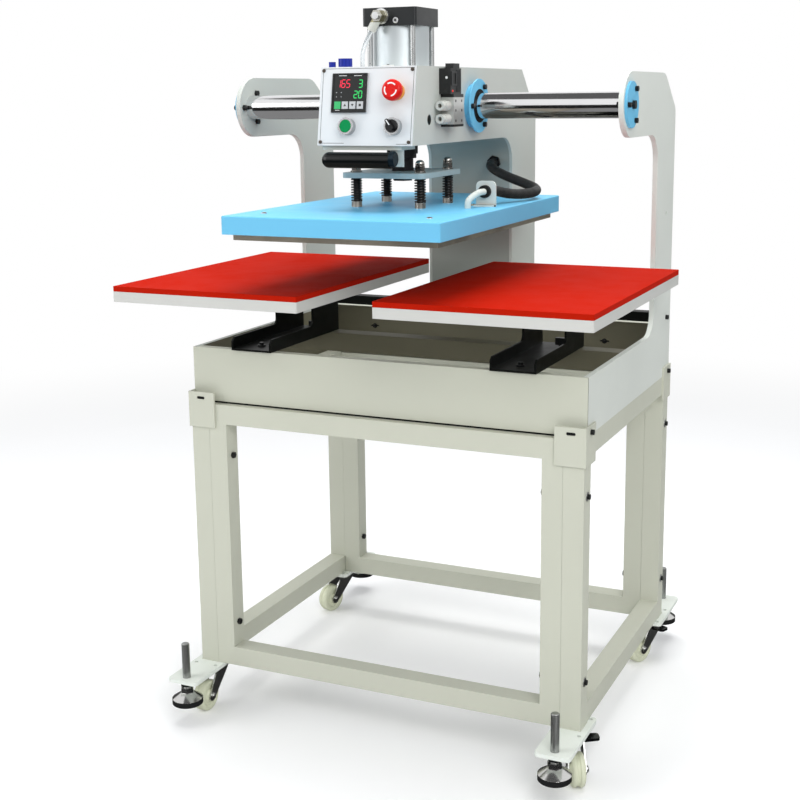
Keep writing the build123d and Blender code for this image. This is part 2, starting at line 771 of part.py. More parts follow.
# Frame screws: cap screws through the legs, the brackets, the rail ends and the end flanges
bracket_screw_inset = 24.0
leg_nut_radius = 6.5
with BuildPart() as frame_screws:
    leg_screw_heights = (leg_bottom_z + leg_screw_rise, side_frame_top_z - leg_screw_drop)
    rail_mid_z = guide_rail_bottom_z + guide_rail_height / 2
    outer_spots = []
    for sy in (-1, 1):
        for z in leg_screw_heights:
            outer_spots.append((corner_y(sy, tube_size / 2), z, 0.0))
        outer_spots.append((corner_y(sy, bracket_screw_inset), bracket_slot_z, bracket_sheet))
    outer_spots.append((guide_rail_y, rail_mid_z, 0.0))
    flange_spots = []
    for angle in bolt_angles:
        bolt_y = bar_y + end_bolt_circle * cos(radians(angle))
        bolt_z = bar_z + end_bolt_circle * sin(radians(angle))
        flange_spots.append((bolt_y, bolt_z))
        outer_spots.append((bolt_y, bolt_z, end_flange_thickness))
    for sx in (-1, 1):
        for y, z, stand_off in outer_spots:
            start = sx * (half_width + stand_off)
            with BuildSketch(Plane.YZ.offset(start if sx > 0 else start - socket_head_height)):
                with Locations((y, z)):
                    Circle(socket_head_diameter / 2)
            extrude(amount=socket_head_height)
        for sy in (-1, 1):
            for z in leg_screw_heights:
                nut_x = sx * (cross_post_x - tube_size / 2)
                with BuildSketch(Plane.YZ.offset(nut_x - (socket_head_height if sx > 0 else 0))):
                    with Locations((corner_y(sy, tube_size / 2), z)):
                        RegularPolygon(leg_nut_radius, 6)
                extrude(amount=socket_head_height)
        with BuildSketch(Plane.YZ.offset(sx * inner_x - (socket_head_height if sx > 0 else 0))):
            with Locations(*flange_spots):
                RegularPolygon(end_nut_radius, 6)
        extrude(amount=socket_head_height)
        bolt_face = sx * (half_width + end_flange_thickness)
        with BuildSketch(Plane.YZ.offset(bolt_face - (0 if sx > 0 else socket_head_height))):
            with Locations((bar_y, bar_z)):
                Circle(end_bolt_radius)
        extrude(amount=socket_head_height)
save(Compound([frame_screws.part, support_screws.part, lock_nuts.part]), "frame_screws")

# Head side plates: arm and column in one plate, tilted front edge, bearing bore
panel_tilt = degrees(atan2(panel_top_y - panel_bottom_y, head_top_z - head_bottom_z))
head_back_y = head_column_front_y + head_column_depth
panel_thickness = 3.0
panel_setback = panel_thickness / cos(radians(panel_tilt))
side_hole_y = -236.0
side_hole_z = head_bottom_z + 44.5
side_hole_radius = 9.75
for side, sx in (("left", -1), ("right", 1)):
    with BuildPart() as head_plate:
        with BuildSketch(Plane.YZ.offset(sx * head_half - (head_sheet if sx > 0 else 0))) as profile:
            with BuildLine():
                Polyline(
                    (panel_bottom_y + panel_setback, head_bottom_z),
                    (panel_top_y + panel_setback, head_top_z),
                    (head_back_y - head_chamfer_y, head_top_z),
                    (head_back_y, head_top_z - head_chamfer_z),
                    (head_back_y, head_column_bottom_z),
                    (head_column_front_y, head_column_bottom_z),
                    (head_column_front_y, head_bottom_z),
                    close=True,
                )
            make_face()
            fillet(corner_at(profile, head_column_front_y, head_bottom_z), head_inner_radius)
            with Locations((bar_y, bar_z)):
                Circle(bearing_sleeve_radius, mode=Mode.SUBTRACT)
            if side == "right":
                with Locations((side_hole_y, side_hole_z)):
                    Circle(side_hole_radius, mode=Mode.SUBTRACT)
        extrude(amount=head_sheet)
    save(head_plate.part, f"head_plate_{side}")

# Head cover: folded sheet over the top, the sloping back and the back of the column, between the plates
cover_inset = seat_gap
conduit_hole_x = 56.0
conduit_hole_z = head_bottom_z - 54.5
conduit_diameter = 20.0
hose_diameter = 8.0
hose_entry_x = -38.5
hose_entry_y = -234.0
hose_hole_slack = 2.5
liner_hole_slack = 2.0
with BuildPart() as head_cover:
    with BuildSketch(Plane.YZ.offset(-head_inner_half + cover_inset)):
        with BuildLine():
            Polyline(
                (panel_top_y + panel_setback, head_top_z),
                (head_back_y - head_chamfer_y, head_top_z),
                (head_back_y, head_top_z - head_chamfer_z),
                (head_back_y, head_column_bottom_z),
                (head_back_y - cover_sheet, head_column_bottom_z),
                (head_back_y - cover_sheet, head_top_z - head_chamfer_z - cover_sheet / 2),
                (head_back_y - head_chamfer_y - cover_sheet / 2, head_top_z - cover_sheet),
                (panel_top_y + panel_setback, head_top_z - cover_sheet),
                close=True,
            )
        make_face()
    extrude(amount=2 * (head_inner_half - cover_inset))
    with BuildSketch(Plane.XY.offset(head_top_z - cover_sheet)):
        with Locations((0, platen_center_y)):
            Circle(barrel_outer / 2 + seat_gap)
            with GridLocations(2 * tie_rod_offset, 2 * tie_rod_offset, 2, 2):
                Circle(tie_rod_diameter / 2 + seat_gap)
        with Locations((hose_entry_x, hose_entry_y)):
            Circle(hose_diameter / 2 + hose_hole_slack)
    extrude(amount=cover_sheet, mode=Mode.SUBTRACT)
save(head_cover.part, "head_cover")

# Head liner: one sheet bent from the underside of the arm into the front of the column
with BuildPart() as head_liner:
    with BuildSketch(Plane.YZ.offset(-head_inner_half + cover_inset)) as liner_outline:
        with BuildLine():
            liner_front_y = panel_bottom_y + panel_setback + liner_sheet * tan(radians(panel_tilt))
            Polyline(
                (liner_front_y, head_bottom_z),
                (head_column_front_y, head_bottom_z),
                (head_column_front_y, head_column_bottom_z),
                (head_column_front_y + liner_sheet, head_column_bottom_z),
                (head_column_front_y + liner_sheet, head_bottom_z + liner_sheet),
                (liner_front_y, head_bottom_z + liner_sheet),
                close=True,
            )
        make_face()
        fillet(corner_at(liner_outline, head_column_front_y, head_bottom_z), head_inner_radius)
        liner_back_y = head_column_front_y + liner_sheet
        fillet(
            corner_at(liner_outline, liner_back_y, head_bottom_z + liner_sheet),
            head_inner_radius + liner_sheet,
        )
    extrude(amount=2 * (head_inner_half - cover_inset))
    with BuildSketch(Plane.XY.offset(head_bottom_z)):
        with Locations((0, platen_center_y)):
            Circle(rod_diameter / 2 + liner_hole_slack)
    extrude(amount=liner_sheet, mode=Mode.SUBTRACT)
    with BuildSketch(Plane.XZ.offset(-head_column_front_y - liner_sheet)):
        with Locations((conduit_hole_x, conduit_hole_z)):
            Circle(conduit_diameter / 2 + liner_hole_slack)
    extrude(amount=3 * liner_sheet, mode=Mode.SUBTRACT)

# Roller bracket and roller at the foot of the column
roller_gap = 0.1
roller_axle_z = guide_rail_top_z + roller_radius + roller_gap
roller_axle_diameter = 8.0
bracket_plate_z = roller_axle_z + roller_radius + head_sheet
roller_ear = 6.0
roller_side_gap = 0.5
ear_width = 16.0
ear_gap = roller_width + 2 * roller_side_gap
with BuildPart() as roller_bracket:
    with BuildSketch(Plane.XY.offset(bracket_plate_z)):
        with Locations((0, (head_column_front_y + liner_sheet + head_back_y - cover_sheet) / 2)):
            Rectangle(
                2 * (head_inner_half - cover_inset),
                head_column_depth - liner_sheet - cover_sheet - 2 * seat_gap,
            )
    extrude(amount=head_sheet)
    for start in (guide_rail_y - ear_gap / 2 - roller_ear, guide_rail_y + ear_gap / 2):
        with BuildSketch(Plane.XZ.offset(-start - roller_ear)) as ear:
            with Locations((0, bracket_plate_z)):
                Rectangle(1.5 * ear_width, 2 * head_sheet)
            with Locations((0, (roller_axle_z + bracket_plate_z) / 2)):
                Rectangle(ear_width, bracket_plate_z - roller_axle_z)
            with Locations((0, roller_axle_z)):
                Circle(ear_width / 2)
        extrude(amount=roller_ear)
    with BuildSketch(Plane.XZ.offset(-guide_rail_y - ear_gap / 2)):
        with Locations((0, roller_axle_z)):
            Circle(roller_axle_diameter / 2)
    extrude(amount=ear_gap)
save(Compound([head_liner.part, roller_bracket.part]), "head_liner")

with BuildPart() as guide_roller:
    with BuildSketch(Plane.XZ.offset(-guide_rail_y - roller_width / 2)):
        with Locations((0, roller_axle_z)):
            Circle(roller_radius)
            Circle(roller_axle_diameter / 2 + running_fit, mode=Mode.SUBTRACT)
    extrude(amount=roller_width)
save(guide_roller.part, "guide_roller")

# Bearing flanges: linear bearing sleeves through the side plates, each with a painted flange
sleeve_depth = 34.0
sleeve_wall = 6.0
bearing_outer_x = head_half + bearing_stand_off + bearing_flange_thickness
with BuildPart() as bearing_flanges:
    with BuildSketch(Plane.XY.offset(bar_z)):
        with BuildLine():
            bore = bar_diameter / 2 + running_fit
            Polyline(
                (bearing_outer_x, bar_y + bore),
                (bearing_outer_x, bar_y + bearing_flange_radius),
                (bearing_outer_x - bearing_flange_thickness, bar_y + bearing_flange_radius),
                (bearing_outer_x - bearing_flange_thickness, bar_y + bearing_sleeve_radius + sleeve_wall),
                (head_half, bar_y + bearing_sleeve_radius + sleeve_wall),
                (head_half, bar_y + bearing_sleeve_radius),
                (head_inner_half - sleeve_depth, bar_y + bearing_sleeve_radius),
                (head_inner_half - sleeve_depth, bar_y + bore),
                close=True,
            )
        make_face()
    revolve(axis=Axis((0, bar_y, bar_z), (1, 0, 0)))
    mirror(about=Plane.YZ)
save(bearing_flanges.part, "bearing_flanges")

# Control panel: plate screwed over the tilted front of the head, with its instrument cut-outs
panel_height = sqrt((head_top_z - head_bottom_z) ** 2 + (panel_top_y - panel_bottom_y) ** 2)
panel_width = 191.0
panel_out = (0, -cos(radians(panel_tilt)), sin(radians(panel_tilt)))
panel_plane = Plane(origin=(0, panel_bottom_y, head_bottom_z), x_dir=(1, 0, 0), z_dir=panel_out)
controller_x = -33.0
controller_z = 95.0
controller_size = 71.0
controller_seat = 2.0
estop_x = 61.0
estop_z = 96.5
start_x = -34.0
switch_x = 59.0
button_row_z = 34.2
button_hole_radius = 11.0
cut_out = controller_size - 2 * controller_seat
with BuildPart() as control_panel:
    with BuildSketch(panel_plane.offset(-panel_thickness)):
        with Locations((0, panel_height / 2)):
            Rectangle(panel_width, panel_height)
        with Locations((controller_x, controller_z)):
            Rectangle(cut_out, cut_out, mode=Mode.SUBTRACT)
        with Locations((estop_x, estop_z), (start_x, button_row_z), (switch_x, button_row_z)):
            Circle(button_hole_radius, mode=Mode.SUBTRACT)
    extrude(amount=panel_thickness)
save(control_panel.part, "control_panel")

# Controller: panel instrument with a bezel, a sunk window and four flat film keys
bezel_depth = 5.0
bezel_rim = 3.0
window_depth = 1.2
key_count = 4
key_width = 9.5
key_pitch = 15.3
key_height = 0.8
key_row_drop = 21.8
instrument_depth = 50.0
instrument_body = cut_out - 2 * seat_gap
bezel_corner = 2.0
with BuildPart() as controller:
    with BuildSketch(panel_plane):
        with Locations((controller_x, controller_z)):
            RectangleRounded(controller_size, controller_size, bezel_corner)
    extrude(amount=bezel_depth)
    with BuildSketch(panel_plane.offset(-instrument_depth)):
        with Locations((controller_x, controller_z)):
            Rectangle(instrument_body, instrument_body)
    extrude(amount=instrument_depth)
    with BuildSketch(panel_plane.offset(bezel_depth - window_depth)):
        with Locations((controller_x, controller_z)):
            Rectangle(controller_size - 2 * bezel_rim, controller_size - 2 * bezel_rim)
    extrude(amount=window_depth, mode=Mode.SUBTRACT)
    with BuildSketch(panel_plane.offset(bezel_depth - window_depth)):
        with Locations((controller_x, controller_z - key_row_drop)):
            with GridLocations(key_pitch, 0, key_count, 1):
                RectangleRounded(key_width, key_width, key_width / 8)
    extrude(amount=key_height)
save(controller.part, "controller")

# Button collars: bezels of the start button and the switch, and the base ring of the stop button
collar_radius = 15.5
collar_bore = 11.8
collar_height = 12.0
estop_collar_radius = 15.0
estop_collar_height = 12.0
barrel_depth = 22.0
switch_stem_radius = 8.4
switch_bore_radius = 9.0
with BuildPart() as button_collars:
    with BuildSketch(panel_plane):
        with Locations((start_x, button_row_z), (switch_x, button_row_z)):
            Circle(collar_radius)
            Circle(collar_bore, mode=Mode.SUBTRACT)
    extrude(amount=collar_height)
    with BuildSketch(panel_plane):
        with Locations((estop_x, estop_z)):
            Circle(estop_collar_radius)
            Circle(switch_bore_radius, mode=Mode.SUBTRACT)
    extrude(amount=estop_collar_height)
    with BuildSketch(panel_plane.offset(-barrel_depth)):
        with Locations((estop_x, estop_z), (start_x, button_row_z), (switch_x, button_row_z)):
            Circle(button_hole_radius)
            Circle(switch_bore_radius, mode=Mode.SUBTRACT)
    extrude(amount=barrel_depth)
save(button_collars.part, "button_collars")

# Stop button: mushroom head on a stem
estop_radius = 19.0
estop_travel = 5.0
estop_head_height = 12.0
estop_rounding = 6.0
stem_depth = 12.0
estop_head_start = estop_collar_height + estop_travel + seat_gap
with BuildPart() as stop_button:
    with BuildSketch(panel_plane.offset(estop_head_start)):
        with Locations((estop_x, estop_z)):
            Circle(estop_radius)
    extrude(amount=estop_head_height)
    fillet(stop_button.edges().sort_by(Axis((0, 0, 0), panel_plane.z_dir))[-1], estop_rounding)
    with BuildSketch(panel_plane.offset(-stem_depth)):
        with Locations((estop_x, estop_z)):
            Circle(switch_stem_radius)
    extrude(amount=stem_depth + estop_head_start)
save(stop_button.part, "stop_button")

# Start button: flat cap in its bezel
start_travel = 4.0
start_cap_start = start_travel + seat_gap
start_cap_height = 8.2
start_cap_edge = 0.8
with BuildPart() as start_button:
    with BuildSketch(panel_plane.offset(start_cap_start)):
        with Locations((start_x, button_row_z)):
            Circle(collar_bore - seat_gap)
    extrude(amount=start_cap_height)
    chamfer(start_button.edges().sort_by(Axis((0, 0, 0), panel_plane.z_dir))[-1], start_cap_edge)
    with BuildSketch(panel_plane.offset(-stem_depth)):
        with Locations((start_x, button_row_z)):
            Circle(switch_stem_radius)
    extrude(amount=stem_depth + start_cap_start)
save(start_button.part, "start_button")

# Selector switch: round knob with a raised pointer bar, turned to the left at rest
selector_base_height = 3.0
selector_bar_height = 6.0
selector_bar_width = 7.0
selector_reach = 14.0
selector_tail = 9.0
selector_rest_angle = 38.0
with BuildPart() as selector_knob:
    with BuildSketch(panel_plane.offset(-stem_depth)):
        with Locations((switch_x, button_row_z)):
            Circle(switch_stem_radius)
    extrude(amount=stem_depth + collar_height)
    with BuildSketch(panel_plane.offset(collar_height)):
        with Locations((switch_x, button_row_z)):
            Circle(collar_bore - seat_gap)
    extrude(amount=selector_base_height)
    with BuildSketch(panel_plane.offset(collar_height + selector_base_height)):
        with Locations(Location((switch_x, button_row_z, 0), (0, 0, selector_rest_angle))):
            with Locations((0, (selector_reach - selector_tail) / 2)):
                bar_length = selector_reach + selector_tail
                RectangleRounded(selector_bar_width, bar_length, selector_bar_width * 0.4)
    extrude(amount=selector_bar_height)
save(selector_knob.part, "selector_knob")

# Head screws: panel corners and the bearing flanges
panel_screw_inset = 6.5
panel_screw_radius = 3.2
panel_screw_height = 1.8
screw_span_x = panel_width - 2 * panel_screw_inset
screw_span_z = panel_height - 2 * panel_screw_inset
with BuildPart() as head_screws:
    with BuildSketch(panel_plane):
        with Locations((0, panel_height / 2)):
            with GridLocations(screw_span_x, screw_span_z, 2, 2):
                Circle(panel_screw_radius)
    extrude(amount=panel_screw_height)
    for sx in (-1, 1):
        start = sx * bearing_outer_x
        with BuildSketch(Plane.YZ.offset(start if sx > 0 else start - socket_head_height)):
            with Locations((bar_y, bar_z)):
                with PolarLocations(bearing_bolt_circle, len(bolt_angles), start_angle=bolt_angles[0]):
                    Circle(socket_head_diameter / 2)
        extrude(amount=socket_head_height)
save(head_screws.part, "head_screws")

# Regulator knobs on the head cover, behind the panel
knob_data = (("pressure_knob", -63.0, -256.0, 13.0, 16.0), ("speed_knob", -86.0, -264.0, 6.5, 10.0))
knurl_count = 12
knurl_share = 0.08
for name, knob_x, knob_y, knob_radius, knob_top in knob_data:
    with BuildPart() as knob:
        with BuildSketch(Plane.XY.offset(head_top_z + seat_gap)):
            with Locations((knob_x, knob_y)):
                Circle(knob_radius)
                with PolarLocations(knob_radius, knurl_count):
                    Circle(knob_radius * knurl_share, mode=Mode.SUBTRACT)
        extrude(amount=knob_top - seat_gap)
    save(knob.part, name)

# Air valve on the right side plate: manifold, coil, and two push-in fittings facing forward
valve_x = head_half
valve_front_y = -190.0
valve_rise = 30.5
manifold_depth = 48.0
manifold_width = 26.0
manifold_height = 60.0
coil_width = 23.0
coil_depth = 52.0
coil_height = 47.0
plug_width = 16.0
plug_depth = 30.0
plug_height = 9.0
fitting_x = valve_x + 12
fitting_rises = (15.0, 39.0)
fitting_set_back = 8.0
fitting_hex_radius = 9.6
fitting_hex_length = 22.0
fitting_radius = 8.7
fitting_length = 12.0
fitting_bore_depth = 16.0
valve_bottom_z = head_bottom_z + valve_rise
manifold_top_z = valve_bottom_z + manifold_height
coil_top_z = manifold_top_z + coil_height
hex_end_y = valve_front_y + fitting_set_back - fitting_hex_length
fitting_end_y = hex_end_y - fitting_length
fitting_spots = [(fitting_x, valve_bottom_z + rise) for rise in fitting_rises]
with BuildPart() as air_valve:
    with BuildSketch(Plane.XY.offset(valve_bottom_z)):
        with Locations((valve_x, valve_front_y + fitting_set_back)):
            Rectangle(manifold_width, manifold_depth, align=(Align.MIN, Align.MIN))
    extrude(amount=manifold_height)
    with BuildSketch(Plane.XY.offset(manifold_top_z)):
        with Locations((valve_x, valve_front_y)):
            Rectangle(coil_width, coil_depth, align=(Align.MIN, Align.MIN))
    extrude(amount=coil_height)
    with BuildSketch(Plane.XY.offset(coil_top_z)):
        with Locations((valve_x + (coil_width - plug_width) / 2, valve_front_y + coil_depth - plug_depth)):
            Rectangle(plug_width, plug_depth, align=(Align.MIN, Align.MIN))
    extrude(amount=plug_height)
    with BuildSketch(Plane.XZ.offset(-valve_front_y - fitting_set_back)):
        with Locations(*fitting_spots):
            Circle(fitting_hex_radius)
    extrude(amount=fitting_hex_length)
    with BuildSketch(Plane.XZ.offset(-hex_end_y)):
        with Locations(*fitting_spots):
            Circle(fitting_radius)
    extrude(amount=fitting_length)
    with BuildSketch(Plane.XZ.offset(-fitting_end_y)):
        with Locations(*fitting_spots):
            Circle(hose_diameter / 2 + running_fit)
    extrude(amount=-fitting_bore_depth, mode=Mode.SUBTRACT)
save(air_valve.part, "air_valve")

# Cylinder caps with the inlet elbow on the upper one
port_x = -14.0
port_z = cap_bottom_z + 17.5
plug_x = 14.5
plug_z = cap_bottom_z + 9.5
plug_radius = 5.5
plug_stand = 1.5
cap_front_y = platen_center_y - cap_size / 2
nose_top_z = head_bottom_z
nose_flange_bottom_z = nose_top_z - nose_flange_height
nose_bottom_z = nose_flange_bottom_z - nose_collar_height
with BuildPart() as cylinder_caps:
    with BuildSketch(Plane.XY.offset(lower_cap_bottom_z)):
        with Locations((0, platen_center_y)):
            RectangleRounded(cap_size, cap_size, cap_corner)
            Circle(rod_diameter / 2 + running_fit, mode=Mode.SUBTRACT)
    extrude(amount=cap_height)
    with BuildSketch(Plane.XY.offset(cap_bottom_z)):
        with Locations((0, platen_center_y)):
            RectangleRounded(cap_size, cap_size, cap_corner)
    extrude(amount=cap_height)

# Rod guide: the black nose that stands out below the head round the rod
with BuildPart() as rod_guide:
    with BuildSketch(Plane.XY.offset(nose_flange_bottom_z)):
        with Locations((0, platen_center_y)):
            Circle(nose_flange_radius)
            Circle(rod_diameter / 2 + running_fit, mode=Mode.SUBTRACT)
    extrude(amount=nose_flange_height)
    with BuildSketch(Plane.XY.offset(nose_bottom_z)):
        with Locations((0, platen_center_y)):
            Circle(nose_collar_radius)
            Circle(rod_diameter / 2 + running_fit, mode=Mode.SUBTRACT)
    extrude(amount=nose_collar_height)

with BuildPart() as cylinder_barrel:
    with BuildSketch(Plane.XY.offset(lower_cap_top_z)):
        with Locations((0, platen_center_y)):
            Circle(barrel_outer / 2)
            Circle(barrel_bore / 2, mode=Mode.SUBTRACT)
    extrude(amount=cap_bottom_z - lower_cap_top_z)
save(cylinder_barrel.part, "cylinder_barrel")

with BuildPart() as tie_rods:
    with BuildSketch(Plane.XY.offset(lower_cap_top_z)):
        with Locations((0, platen_center_y)):
            with GridLocations(2 * tie_rod_offset, 2 * tie_rod_offset, 2, 2):
                Circle(tie_rod_diameter / 2)
    extrude(amount=cap_bottom_z - lower_cap_top_z)

# Air elbow: banjo body on the upper cap's port, with a push-in collar for the hose
elbow_lean = 30.0
elbow_washer_radius = 14.5
elbow_washer = 4.0
elbow_body_radius = 11.5
elbow_body_length = 20.0
elbow_screw_radius = 6.5
elbow_screw_length = 5.0
elbow_tube_radius = 8.5
elbow_reach = 30.0
elbow_y = cap_front_y - elbow_washer - elbow_body_length / 2
elbow_down = (-sin(radians(elbow_lean)), 0, -cos(radians(elbow_lean)))
elbow_drop = Plane(origin=(port_x, elbow_y, port_z), x_dir=(0, 1, 0), z_dir=elbow_down)
with BuildPart() as air_elbow:
    with BuildSketch(Plane.XZ.offset(-cap_front_y)):
        with Locations((port_x, port_z)):
            Circle(elbow_washer_radius)
    extrude(amount=elbow_washer)
    with BuildSketch(Plane.XZ.offset(-cap_front_y + elbow_washer)):
        with Locations((port_x, port_z)):
            RegularPolygon(elbow_body_radius, 6)
    extrude(amount=elbow_body_length)
    with BuildSketch(Plane.XZ.offset(-cap_front_y + elbow_washer + elbow_body_length)):
        with Locations((port_x, port_z)):
            Circle(elbow_screw_radius)
    extrude(amount=elbow_screw_length)
    with BuildSketch(elbow_drop):
        Circle(elbow_tube_radius)
    extrude(amount=elbow_reach)
with BuildPart() as port_plug:
    with BuildSketch(Plane.XZ.offset(-cap_front_y)):
        with Locations((plug_x, plug_z)):
            Circle(plug_radius)
            RegularPolygon(plug_radius / 2, 6, mode=Mode.SUBTRACT)
    extrude(amount=plug_stand)
cap_pieces = [cylinder_caps, rod_guide, tie_rods, air_elbow, port_plug]
save(Compound([piece.part for piece in cap_pieces]), "cylinder_caps")


def corner_radii(points):
    """Radius of the arc at each corner of a route, as large as the two runs there allow."""
    radii = []
    for before, at, after in zip(points, points[1:], points[2:]):
        turn_in = Vector(*at) - Vector(*before)
        turn_out = Vector(*after) - Vector(*at)
        turn = radians(turn_in.get_angle(turn_out))
        radii.append(0.45 * min(turn_in.length, turn_out.length) / tan(turn / 2))
    return radii


def tube_along(points, diameter, name):
    """Sweep a round section along a route and compare its volume with section times length."""
    radii = corner_radii(points)
    with BuildPart() as tube:
        with BuildLine():
            route = FilletPolyline(*points, radius=radii)
        with BuildSketch(Plane(origin=route @ 0, z_dir=route % 0)):
            Circle(diameter / 2)
        sweep(path=route)
    ideal = pi * diameter**2 / 4 * route.length
    print(name, "radii", [round(r, 1) for r in radii], "length", round(route.length, 1))
    print(name, "volume over ideal", round(tube.part.volume / ideal, 4))
    return tube.part


# Air hose from the elbow down into the head cover
hose_first_run = 14.0
drop_end = elbow_drop.origin + elbow_drop.z_dir * elbow_reach
first_knee = drop_end + elbow_drop.z_dir * hose_first_run
air_hose_points = [
    tuple(drop_end),
    tuple(first_knee),
    (-42.0, elbow_y - 4.8, head_top_z + 38.5),
    (-43.0, -226.5, head_top_z + 19),
    (-35.0, -239.5, head_top_z - 14.5),
]
save(tube_along(air_hose_points, hose_diameter, "air_hose"), "air_hose")

# Handle: moulded grip with a rounded left end and an end block on the right
handle_y = -314.0
handle_drop = 26.0
handle_z = head_bottom_z - handle_drop
grip_radius = 14.6
grip_left = -84.0
grip_right = 55.0
end_block_width = 9.0
end_block_rise = 2.5
end_block_edge = 2.5
with BuildPart() as handle_grip:
    with BuildSketch(Plane.XZ.offset(-handle_y)):
        with BuildLine():
            Polyline(
                (grip_left, handle_z),
                (grip_right, handle_z),
                (grip_right, handle_z + grip_radius),
                (grip_left + grip_radius, handle_z + grip_radius),
            )
            ThreePointArc(
                (grip_left + grip_radius, handle_z + grip_radius),
                (grip_left + grip_radius * (1 - cos(pi / 4)), handle_z + grip_radius * sin(pi / 4)),
                (grip_left, handle_z),
            )
        make_face()
    revolve(axis=Axis((0, handle_y, handle_z), (1, 0, 0)))
    with BuildSketch(Plane.YZ.offset(grip_right)):
        with Locations((handle_y, handle_z + end_block_rise)):
            Circle(grip_radius)
    extrude(amount=end_block_width)
    chamfer(handle_grip.edges().group_by(Axis.X)[-1], end_block_edge)
save(handle_grip.part, "handle_grip")

# Handle bracket: strap across under the head, with a tab that turns down behind the end block
strap_left = -88.0
strap_right = 72.0
strap_thickness = 8.0
strap_front_y = -306.0
strap_depth = 60.0
tab_thickness = 5.0
tab_width = 26.0
tab_height = 30.0
tab_front_y = handle_y + grip_radius + seat_gap
with BuildPart() as handle_bracket:
    with BuildSketch(Plane.XY.offset(head_bottom_z - strap_thickness)):
        with Locations((strap_left, strap_front_y)):
            Rectangle(strap_right - strap_left, strap_depth, align=(Align.MIN, Align.MIN))
    extrude(amount=strap_thickness)
    with BuildSketch(Plane.XZ.offset(-tab_front_y - tab_thickness)):
        with Locations((strap_right, head_bottom_z - strap_thickness)):
            Rectangle(tab_width, tab_height, align=(Align.MAX, Align.MAX))
    extrude(amount=tab_thickness)
save(handle_bracket.part, "handle_bracket")

# Ram: piston, rod and threaded coupler down to the spring plate
piston_gap = 2.0
piston_top_z = cap_bottom_z - piston_gap
piston_bottom_z = piston_top_z - piston_height
coupler_foot_radius = 24.0
coupler_foot_height = 6.0
rod_nut_radius = 20.0
rod_nut_height = 9.0
rod_bottom_z = spring_plate_bottom_z - rod_nut_height
with BuildPart() as ram:
    with BuildSketch(Plane.XY.offset(piston_bottom_z)):
        with Locations((0, platen_center_y)):
            Circle(barrel_bore / 2 - running_fit)
    extrude(amount=piston_height)
    with BuildSketch(Plane.XY.offset(rod_bottom_z)):
        with Locations((0, platen_center_y)):
            Circle(rod_diameter / 2)
    extrude(amount=piston_bottom_z - rod_bottom_z)
    with BuildSketch(Plane.XY.offset(spring_plate_top_z)):
        with Locations((0, platen_center_y)):
            Circle(coupler_radius)
    extrude(amount=coupler_height)
    with BuildSketch(Plane.XY.offset(spring_plate_top_z)):
        with Locations((0, platen_center_y)):
            RegularPolygon(coupler_foot_radius, 6)
    extrude(amount=coupler_foot_height)
    with BuildSketch(Plane.XY.offset(rod_bottom_z)):
        with Locations((0, platen_center_y)):
            RegularPolygon(rod_nut_radius, 6)
    extrude(amount=rod_nut_height)
save(ram.part, "ram")

with BuildPart() as spring_plate:
    with BuildSketch(Plane.XY.offset(spring_plate_bottom_z)):
        with Locations((0, platen_center_y)):
            RectangleRounded(spring_plate_width, spring_plate_length, spring_plate_corner)
            Circle(rod_diameter / 2 + running_fit, mode=Mode.SUBTRACT)
            with GridLocations(2 * spring_bolt_x, 2 * spring_bolt_y, 2, 2):
                Circle(spring_bolt_diameter / 2 + seat_gap, mode=Mode.SUBTRACT)
    extrude(amount=spring_plate_thickness)
save(spring_plate.part, "spring_plate")

# Spring bolts: studs from the platen cover with a base bush below and a nut above the spring plate
nut_bottom_z = spring_plate_top_z + seat_gap
with BuildPart() as spring_bolts:
    with BuildSketch(Plane.XY.offset(cover_top_z)):
        with Locations((0, platen_center_y)):
            with GridLocations(2 * spring_bolt_x, 2 * spring_bolt_y, 2, 2):
                Circle(bush_diameter / 2)
    extrude(amount=bush_height)
    with BuildSketch(Plane.XY.offset(cover_top_z + bush_height)):
        with Locations((0, platen_center_y)):
            with GridLocations(2 * spring_bolt_x, 2 * spring_bolt_y, 2, 2):
                Circle(spring_bolt_diameter / 2)
    extrude(amount=nut_bottom_z - cover_top_z - bush_height)
    with BuildSketch(Plane.XY.offset(nut_bottom_z)):
        with Locations((0, platen_center_y)):
            with GridLocations(2 * spring_bolt_x, 2 * spring_bolt_y, 2, 2):
                Circle(spring_outer / 2)
    extrude(amount=spring_washer_height)
    with BuildSketch(Plane.XY.offset(nut_bottom_z + spring_washer_height)):
        with Locations((0, platen_center_y)):
            with GridLocations(2 * spring_bolt_x, 2 * spring_bolt_y, 2, 2):
                RegularPolygon(spring_nut_radius, 6)
    extrude(amount=spring_nut_height)
    with BuildSketch(Plane.XY.offset(nut_bottom_z + spring_washer_height + spring_nut_height)):
        with Locations((0, platen_center_y)):
            with GridLocations(2 * spring_bolt_x, 2 * spring_bolt_y, 2, 2):
                Circle(dome_radius)
    extrude(amount=dome_height)
    fillet(spring_bolts.edges().group_by(Axis.Z)[-1], 0.8 * dome_radius)
save(spring_bolts.part, "spring_bolts")

# Springs: one unbroken wire each. The ends stand square on the bush and under the plate for one wire
# diameter, then bend into turns that climb at a steady rate.
spring_radius = (spring_outer - spring_wire) / 2
spring_bottom_z = cover_top_z + bush_height + seat_gap
spring_top_z = spring_plate_bottom_z - seat_gap
end_bend_rise = 1.35 * spring_wire
end_bend_angle = radians(38)
spring_climb = spring_top_z - spring_bottom_z - 2 * (spring_wire + end_bend_rise)
spring_pitch = spring_climb / spring_turns


def coil_point(angle):
    """Point and direction of the coil after an angle, counted from its first full-radius point."""
    place = Vector(
        spring_radius * cos(angle),
        spring_radius * sin(angle),
        spring_bottom_z + spring_wire + end_bend_rise + spring_pitch * angle / (2 * pi),
    )
    heading = Vector(-sin(angle), cos(angle), spring_pitch / (2 * pi * spring_radius)).normalized()
    return place, heading


